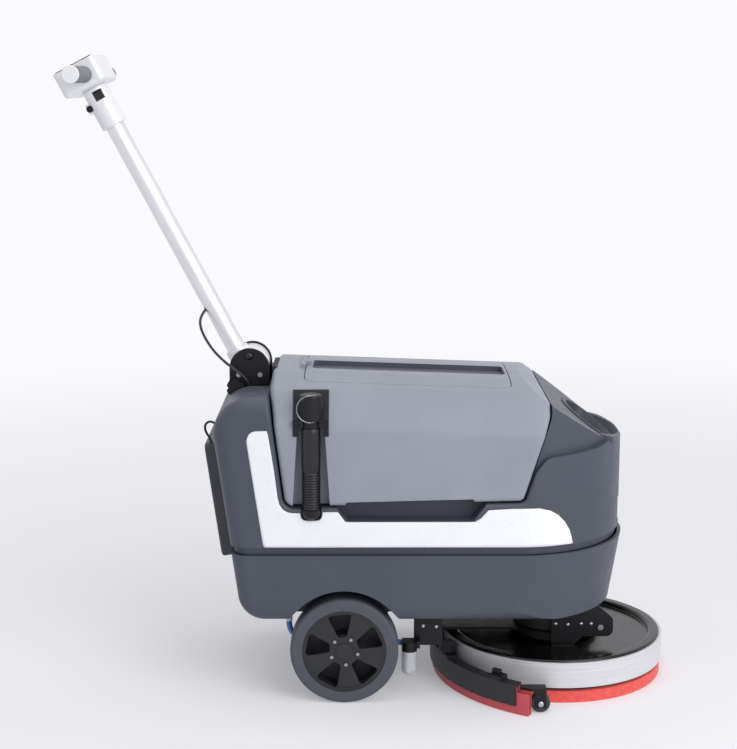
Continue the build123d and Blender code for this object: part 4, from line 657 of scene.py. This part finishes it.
class SCRUBBER_OT_pad(bpy.types.Operator):
    """Make the red scrubbing pad with its fibrous cut edge."""

    bl_idname = "scrubber.pad"
    bl_label = "Scrubbing pad"

    def execute(self, context):
        sizes, colours = context.scene.scrubber_sizes, context.scene.scrubber_colours
        low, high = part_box("scrub_pad")
        rim, top, hole = (high.x - low.x) / 2, high.z, 41.0 * MM
        roll = 2 * MM
        well = 8.2 * MM
        edge_depth = 4 * MM
        steps = 480
        face = np.c_[np.linspace(6 * MM, rim - 3 * MM, 12), np.zeros(12)]
        bend = np.linspace(0.0, pi / 2, 5)
        foot = np.c_[rim - roll + roll * np.sin(bend), roll - roll * np.cos(bend)]
        wall = np.c_[np.full(9, rim), np.linspace(3.5 * MM, top - 3.5 * MM, 9)]
        brow = np.c_[rim - roll + roll * np.cos(bend), top - roll + roll * np.sin(bend)]
        # Back over the top and down into the well round the driver's hub
        crown = np.array([(rim - 20 * MM, top), (90 * MM, top), (hole, top), (hole, well), (20 * MM, 8 * MM)])
        profile = np.vstack([face, foot, wall, brow, crown])
        grid = turned(profile, np.zeros(3), UP, FORWARD, steps)
        # The cut edge wanders inwards by three waves of unlike pitch; the faces stay flat
        angle = np.linspace(0.0, 2 * pi, steps, endpoint=False)[None]
        level = profile[:, 1][:, None] / MM
        pitches = ((61, 0.9), (97, -1.7), (167, 0.5))
        waves = sum(np.sin(count * angle + lean * level) for count, lean in pitches)
        edge = np.clip((profile[:, 0] - rim + edge_depth) / edge_depth, 0.0, 1.0)[:, None]
        shrink = 1.0 - edge * sizes.pad_fuzz * (0.5 + waves / 6) / rim
        grid[:, :, :2] *= shrink[:, :, None]
        pad = surface("scrub_pad_fibre", grid, self.fibre(colours.pad), "brush", poles=True)
        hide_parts("scrub_pad")
        return {"FINISHED"}

    def fibre(self, tint):
        """Return nonwoven nylon: crossed fibres, drawn 2 mm wide so that they show, and deep pores."""
        material, tree, shader, place = finish(
            "Nonwoven nylon fibre, red", Sheen_Weight=0.25, Specular_IOR_Level=0.25,
        )
        left = noise(tree, place, 2.0, turn=(0.4, 0.2, 0.7), stretch=(1.0, 0.2, 1.0))
        right = noise(tree, place, 2.0, turn=(-0.5, 0.3, -0.8), stretch=(0.2, 1.0, 1.0))
        web = node(tree, "ShaderNodeMath", {0: left, 1: right}, operation="MAXIMUM").outputs[0]
        pores = noise(tree, place, 7.0, detail=5.0)
        mat = node(tree, "ShaderNodeMath", {0: web, 1: pores}, operation="MULTIPLY").outputs[0]
        shown = node(tree, "ShaderNodeMapRange", {"Value": mat}, {"From Min": 0.12, "From Max": 0.5})
        tinted(tree, shader, shown.outputs[0], tint, 0.86, 1.08)
        roughened(tree, shader, pores, 0.8, 0.95)
        embossed(tree, shader, web, 0.5)
        return material


class SCRUBBER_OT_grips(bpy.types.Operator):
    """Make the ringed sleeves on the handle bar and the dark window in the neck."""

    bl_idname = "scrubber.grips"
    bl_label = "Hand grips"

    def execute(self, context):
        self.sleeves(context.scene.scrubber_sizes)
        self.window()
        return {"FINISHED"}

    def sleeves(self, sizes):
        """Turn the two ringed sleeves about the handle bar."""
        centre = on_handle(6.0, 556.0)
        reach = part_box("hand_grips")[1].y
        start = 70.3 * MM
        radius = 13.5 * MM
        bore = 9.1 * MM
        ring_depth = 0.7 * MM
        # Thermoplastic rubber: mid grey, dry to the touch, with moulded rings
        sleeve = moulded(
            "Thermoplastic rubber, grey", linear("#7C7E83"), 0.6, 1.2, 0.04, cloud_mm=14.0, spread=0.08,
        )
        h = np.linspace(start + 1.7 * MM, reach - 2 * MM, 240)
        wave = 0.5 - 0.5 * np.cos(2 * pi * h / sizes.grip_pitch)
        outer = np.c_[radius - ring_depth * wave ** 2, h]
        brow, lip = radius - 0.9 * MM, radius - 2.0 * MM
        ends = np.array([
            (brow, reach - 0.5 * MM), (lip, reach - 0.1 * MM), (bore, reach - 0.1 * MM),
            (bore, start), (lip, start), (brow, start + 0.5 * MM),
        ])
        profile = np.vstack([outer, ends])
        for side, name in ((-1.0, "right"), (1.0, "left")):
            grid = turned(profile, centre, side * ACROSS, HANDLE_A, 64)
            grip = surface(f"hand_grip_{name}", grid, sleeve, "handle", loop=True)
            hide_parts("hand_grips")

    def window(self):
        """Set the dark window in the neck: a crowned pane that falls off with the fourth power."""
        half = 8.3 * MM
        neck_face = 18.7 * MM
        crown = 1.0 * MM
        u, v = np.meshgrid(np.linspace(-1, 1, 25), np.linspace(-1, 1, 25), indexing="ij")
        out = neck_face + crown * (1 - u ** 4) * (1 - v ** 4)
        pane = on_handle(3.5, 519.5) + half * u[..., None] * HANDLE_A + half * v[..., None] * HANDLE_T
        pane = pane - out[..., None] * ACROSS
        # Moulded ABS: black, polished
        glossy = moulded("Moulded ABS, gloss black", linear("#101114"), 0.2, 8.0, 0.02, cloud_mm=12.0)
        window = surface("neck_window", pane, glossy, "handle", wrap=False)
        thicken(window, SHEET_THICKNESS)


class SCRUBBER_OT_side_film(bpy.types.Operator):
    """Lay the white film on the right side of the body, left without print."""

    bl_idname = "scrubber.side_film"
    bl_label = "Side film"

    def execute(self, context):
        sizes, colours = context.scene.scrubber_sizes, context.scene.scrubber_colours
        # Pairs of points across the film, outer edge then inner edge, as X and Z in mm
        pairs = np.array([
            (-507.8, 464.2, -489.2, 464.6), (-514, 462.6, -488.8, 463.0), (-519, 458.5, -488.0, 459.5),
            (-521.8, 452, -487.0, 455.0), (-522.5, 445.5, -485.9, 448.0), (-516.2, 402, -478.9, 403.0),
            (-509.2, 353.2, -472.6, 352.0), (-506.5, 335, -470.0, 342.0), (-503.5, 314, -464.8, 333.8),
            (-499.5, 287, -457.5, 329.4), (-497.2, 272.5, -450.0, 327.8), (-494.5, 269.8, -446.0, 327.6),
            (-470, 269.7, -441.0, 327.6), (-445, 269.7, -436.4, 327.7), (-436.6, 269.7, -436.2, 325.2),
            (-435, 269.7, -435.2, 320.4), (-432, 269.7, -432.6, 317.0), (-428, 269.7, -429.0, 315.3),
            (-425, 269.7, -425.0, 314.9), (-411, 269.7, -411.0, 314.9), (-408, 269.7, -407.0, 315.3),
            (-404, 269.7, -403.4, 317.0), (-401, 269.7, -400.8, 320.4), (-399.6, 269.7, -399.8, 325.2),
            (-399.2, 269.7, -399.4, 329.2), (-385, 269.7, -385.0, 329.5), (-375, 269.8, -375.0, 329.6),
            (-364, 269.8, -363.0, 313.4), (-358, 269.8, -357.0, 312.6),
            (-280, 270, -280, 312.6), (-153, 270, -151, 312.8), (-143, 270, -141, 319.0),
            (-131, 270, -129, 332.5), (-90, 270, -90, 335.0), (-46, 270, -45.6, 335.0),
            (-28, 270, -27, 330.0), (-19, 270, -14, 322.0), (-8, 270, -2, 309.0),
            (0, 270, 6.5, 294.0), (6, 270, 10.5, 281.0), (11.5, 270, 12.5, 271.5),
        ], float)
        run = np.linalg.norm(np.diff((pairs[:, :2] + pairs[:, 2:]) / 2, axis=0), axis=1)
        station = np.concatenate([[0.0], np.cumsum(run)])
        fine = np.union1d(np.linspace(0.0, station[-1], 420), station)
        edges = np.stack([np.interp(fine, station, pairs[:, k]) for k in range(4)], 1)
        # The ruled surface runs straight across between the two edges
        v = np.linspace(0.0, 1.0, 13)[None, :, None]
        flat = edges[:, None, :2] * (1 - v) + edges[:, None, 2:] * v
        x, z = flat[..., 0], flat[..., 1]
        # It follows the body's side and, ahead of the bend's centre, the round of the nose
        bend_x, bend_y, bend_radius = -81.0, -1.0, 191.0
        reach = bend_radius + sizes.film_lift / MM
        bend = np.sqrt(np.maximum(reach ** 2 - np.maximum(x - bend_x, 0.0) ** 2, 0.0))
        grid = np.stack([x, bend_y - bend, z], -1) * MM
        # Cast vinyl film: clean white, half gloss, with the faint waves of a hand-laid sheet
        vinyl = moulded("Cast vinyl film, white", colours.film, 0.32, 14.0, 0.03, cloud_mm=60.0, spread=0.02)
        film = surface("side_film", grid, vinyl, "chassis", wrap=False)
        thicken(film, SHEET_THICKNESS)
        return {"FINISHED"}


class SCRUBBER_OT_fasteners(bpy.types.Operator):
    """Set the small pan heads and the black caps over the top hinge bolts."""

    bl_idname = "scrubber.fasteners"
    bl_label = "Fasteners"

    def execute(self, context):
        # Zinc plated pan heads: grey and bright, turned smooth
        zinc = drawn(
            "Zinc plated steel, small heads", linear("#B4B6BA"), 0.32, 0.8, (0.0, 0.6, 0.3), (1.0, 0.15, 1.0),
        )
        for name, body, x, y, z, radius in PAN_HEADS:
            head = self.head(name, body, (x, y, z), radius, PAN_SHARE * radius, zinc)
        # Push-on nylon caps, black and fairly glossy
        nylon = moulded("Moulded nylon, gloss black", linear("#0C0D10"), 0.25, 3.0, 0.02, cloud_mm=6.0)
        for name, x, y, z in BOLT_CAPS:
            cap = self.head(name, "chassis", (x, y, z), CAP_RADIUS, CAP_HEIGHT, nylon)
        return {"FINISHED"}

    def head(self, name, body, place, radius, height, material):
        """Turn a rounded head that stands out sideways from its place; sizes are in mm."""
        foot = [(radius, -HEAD_SUNK)]
        crown = [(radius * across, height * up) for across, up in HEAD_SHAPE]
        out = np.sign(place[1]) * ACROSS
        grid = turned(np.array(foot + crown) * MM, np.array(place) * MM, out, FORWARD, 24)
        return surface(name, grid, material, body, poles=True)


class SCRUBBER_OT_stage(bpy.types.Operator):
    """Set up the pale floor, the soft studio light and the camera."""

    bl_idname = "scrubber.stage"
    bl_label = "Stage"

    def execute(self, context):
        stage = context.scene.scrubber_stage
        context.scene.view_settings.view_transform = "Standard"
        self.camera(context, stage)
        self.lamp("Top softbox", stage.top_lamp, *TOP_BOX)
        self.lamp("Front softbox", stage.front_lamp, *FRONT_BOX)
        world = bpy.data.worlds.new("Studio")
        context.scene.world = world
        world.use_nodes = True
        self.white_to_lens(world.node_tree, stage.sky)
        self.floor(stage)
        return {"FINISHED"}

    def camera(self, context, stage):
        """Place the camera at the photograph's viewpoint."""
        data = bpy.data.cameras.new("Camera")
        data.lens = stage.lens
        data.sensor_width = 36.0
        eye = bpy.data.objects.new("Camera", data)
        eye.location = stage.camera
        eye.rotation_euler = (pi / 2 - stage.pitch, 0.0, 0.0)
        context.scene.collection.objects.link(eye)
        context.scene.camera = eye

    def lamp(self, name, power, size, place, turn):
        """Add a square softbox."""
        data = bpy.data.lights.new(name, "AREA")
        data.energy = power
        data.size = size
        lamp = bpy.data.objects.new(name, data)
        lamp.location = place
        lamp.rotation_euler = turn
        bpy.context.scene.collection.objects.link(lamp)

    def seen(self, tree):
        """Return 1 for rays that show the background: from the lens, a reflection or through glass."""
        path = node(tree, "ShaderNodeLightPath").outputs
        shows = path["Is Camera Ray"]
        for ray in ("Is Glossy Ray", "Is Transmission Ray"):
            shows = node(tree, "ShaderNodeMath", {0: shows, 1: path[ray]}, operation="MAXIMUM").outputs[0]
        return shows

    def white_to_lens(self, tree, strength):
        """Light the scene softly from all round and show a near-white background."""
        tree.nodes.clear()
        pale = linear(BACKDROP)
        soft = node(tree, "ShaderNodeBackground", None, {"Color": pale, "Strength": strength})
        white = node(tree, "ShaderNodeBackground", None, {"Color": pale, "Strength": 1.0})
        mix = node(tree, "ShaderNodeMixShader", {0: self.seen(tree), 1: soft.outputs[0], 2: white.outputs[0]})
        node(tree, "ShaderNodeOutputWorld", {"Surface": mix.outputs[0]})

    def floor(self, stage):
        """Lay a flat floor that glows a quarter white beside the object, painted light that lightens the
        object's shadow, and fades to the background far from the object.
        """
        span = np.linspace(-FLOOR_HALF, FLOOR_HALF, FLOOR_POINTS)
        x, y = np.meshgrid(span, span, indexing="ij")
        # Matt paper: near white, with hardly any gloss
        material, tree, shader, place = finish("Studio floor, pale, glowing over its shadow", Roughness=0.7, Specular_IOR_Level=0.1)
        tinted(tree, shader, noise(tree, place, 400.0), stage.floor, 0.99, 1.01)
        far = node(tree, "ShaderNodeVectorMath", {0: place}, operation="LENGTH").outputs["Value"]
        # Beside the object a quarter of what the lens and reflections see of the floor is painted white glow,
        # which lightens the object's shadow; the glow rises to all of it by FLOOR_FADED
        painted_glow_share = node(
            tree, "ShaderNodeMapRange", {"Value": far},
            {"From Min": 0.0, "From Max": FLOOR_FADED, "To Min": 0.25}, interpolation_type="SMOOTHSTEP",
        )
        share = node(tree, "ShaderNodeMath", {0: painted_glow_share.outputs[0], 1: self.seen(tree)}, operation="MULTIPLY")
        white = node(tree, "ShaderNodeEmission", None, {"Color": linear(BACKDROP), "Strength": 1.0})
        mix = node(
            tree, "ShaderNodeMixShader", {0: share.outputs[0], 1: shader.outputs[0], 2: white.outputs[0]},
        )
        tree.links.new(mix.outputs[0], tree.nodes["Material Output"].inputs["Surface"])
        floor = surface("floor", np.stack([x, y, np.zeros_like(x)], -1), material, wrap=False)


class SCRUBBER_PT_panel(bpy.types.Panel):
    """Sidebar panel that lists the scrubber's settings and steps."""

    bl_idname = "SCRUBBER_PT_panel"
    bl_label = "Floor Scrubber"
    bl_space_type = "VIEW_3D"
    bl_region_type = "UI"
    bl_category = "Scrubber"

    def draw(self, context):
        for group in ("scrubber_colours", "scrubber_sizes", "scrubber_stage"):
            settings = getattr(context.scene, group)
            for key in settings.bl_rna.properties.keys():
                if key not in ("rna_type", "name"):
                    self.layout.prop(settings, key)
        for step in STEPS:
            self.layout.operator(step.bl_idname)


GROUPS = {
    "scrubber_colours": ScrubberColours,
    "scrubber_sizes": ScrubberSizes,
    "scrubber_stage": ScrubberStage,
}
STEPS = (
    SCRUBBER_OT_stage,
    SCRUBBER_OT_cords,
    SCRUBBER_OT_mouldings,
    SCRUBBER_OT_metalwork,
    SCRUBBER_OT_rubber,
    SCRUBBER_OT_drain_hose,
    SCRUBBER_OT_pad,
    SCRUBBER_OT_grips,
    SCRUBBER_OT_side_film,
    SCRUBBER_OT_fasteners,
)


def register():
    """Register the settings, steps and panel."""
    for key, group in GROUPS.items():
        bpy.utils.register_class(group)
        setattr(bpy.types.Scene, key, PointerProperty(type=group))
    for step in (*STEPS, SCRUBBER_PT_panel):
        bpy.utils.register_class(step)


def unregister():
    """Remove the panel, steps and settings."""
    for step in (SCRUBBER_PT_panel, *reversed(STEPS)):
        bpy.utils.unregister_class(step)
    for key, group in GROUPS.items():
        delattr(bpy.types.Scene, key)
        bpy.utils.unregister_class(group)


def main():
    """Build the looks in order."""
    register()
    bpy.ops.scrubber.stage()
    bpy.ops.scrubber.cords()
    bpy.ops.scrubber.mouldings()
    bpy.ops.scrubber.metalwork()
    bpy.ops.scrubber.rubber()
    bpy.ops.scrubber.drain_hose()
    bpy.ops.scrubber.pad()
    bpy.ops.scrubber.grips()
    bpy.ops.scrubber.side_film()
    bpy.ops.scrubber.fasteners()


if __name__ == "__main__":
    main()
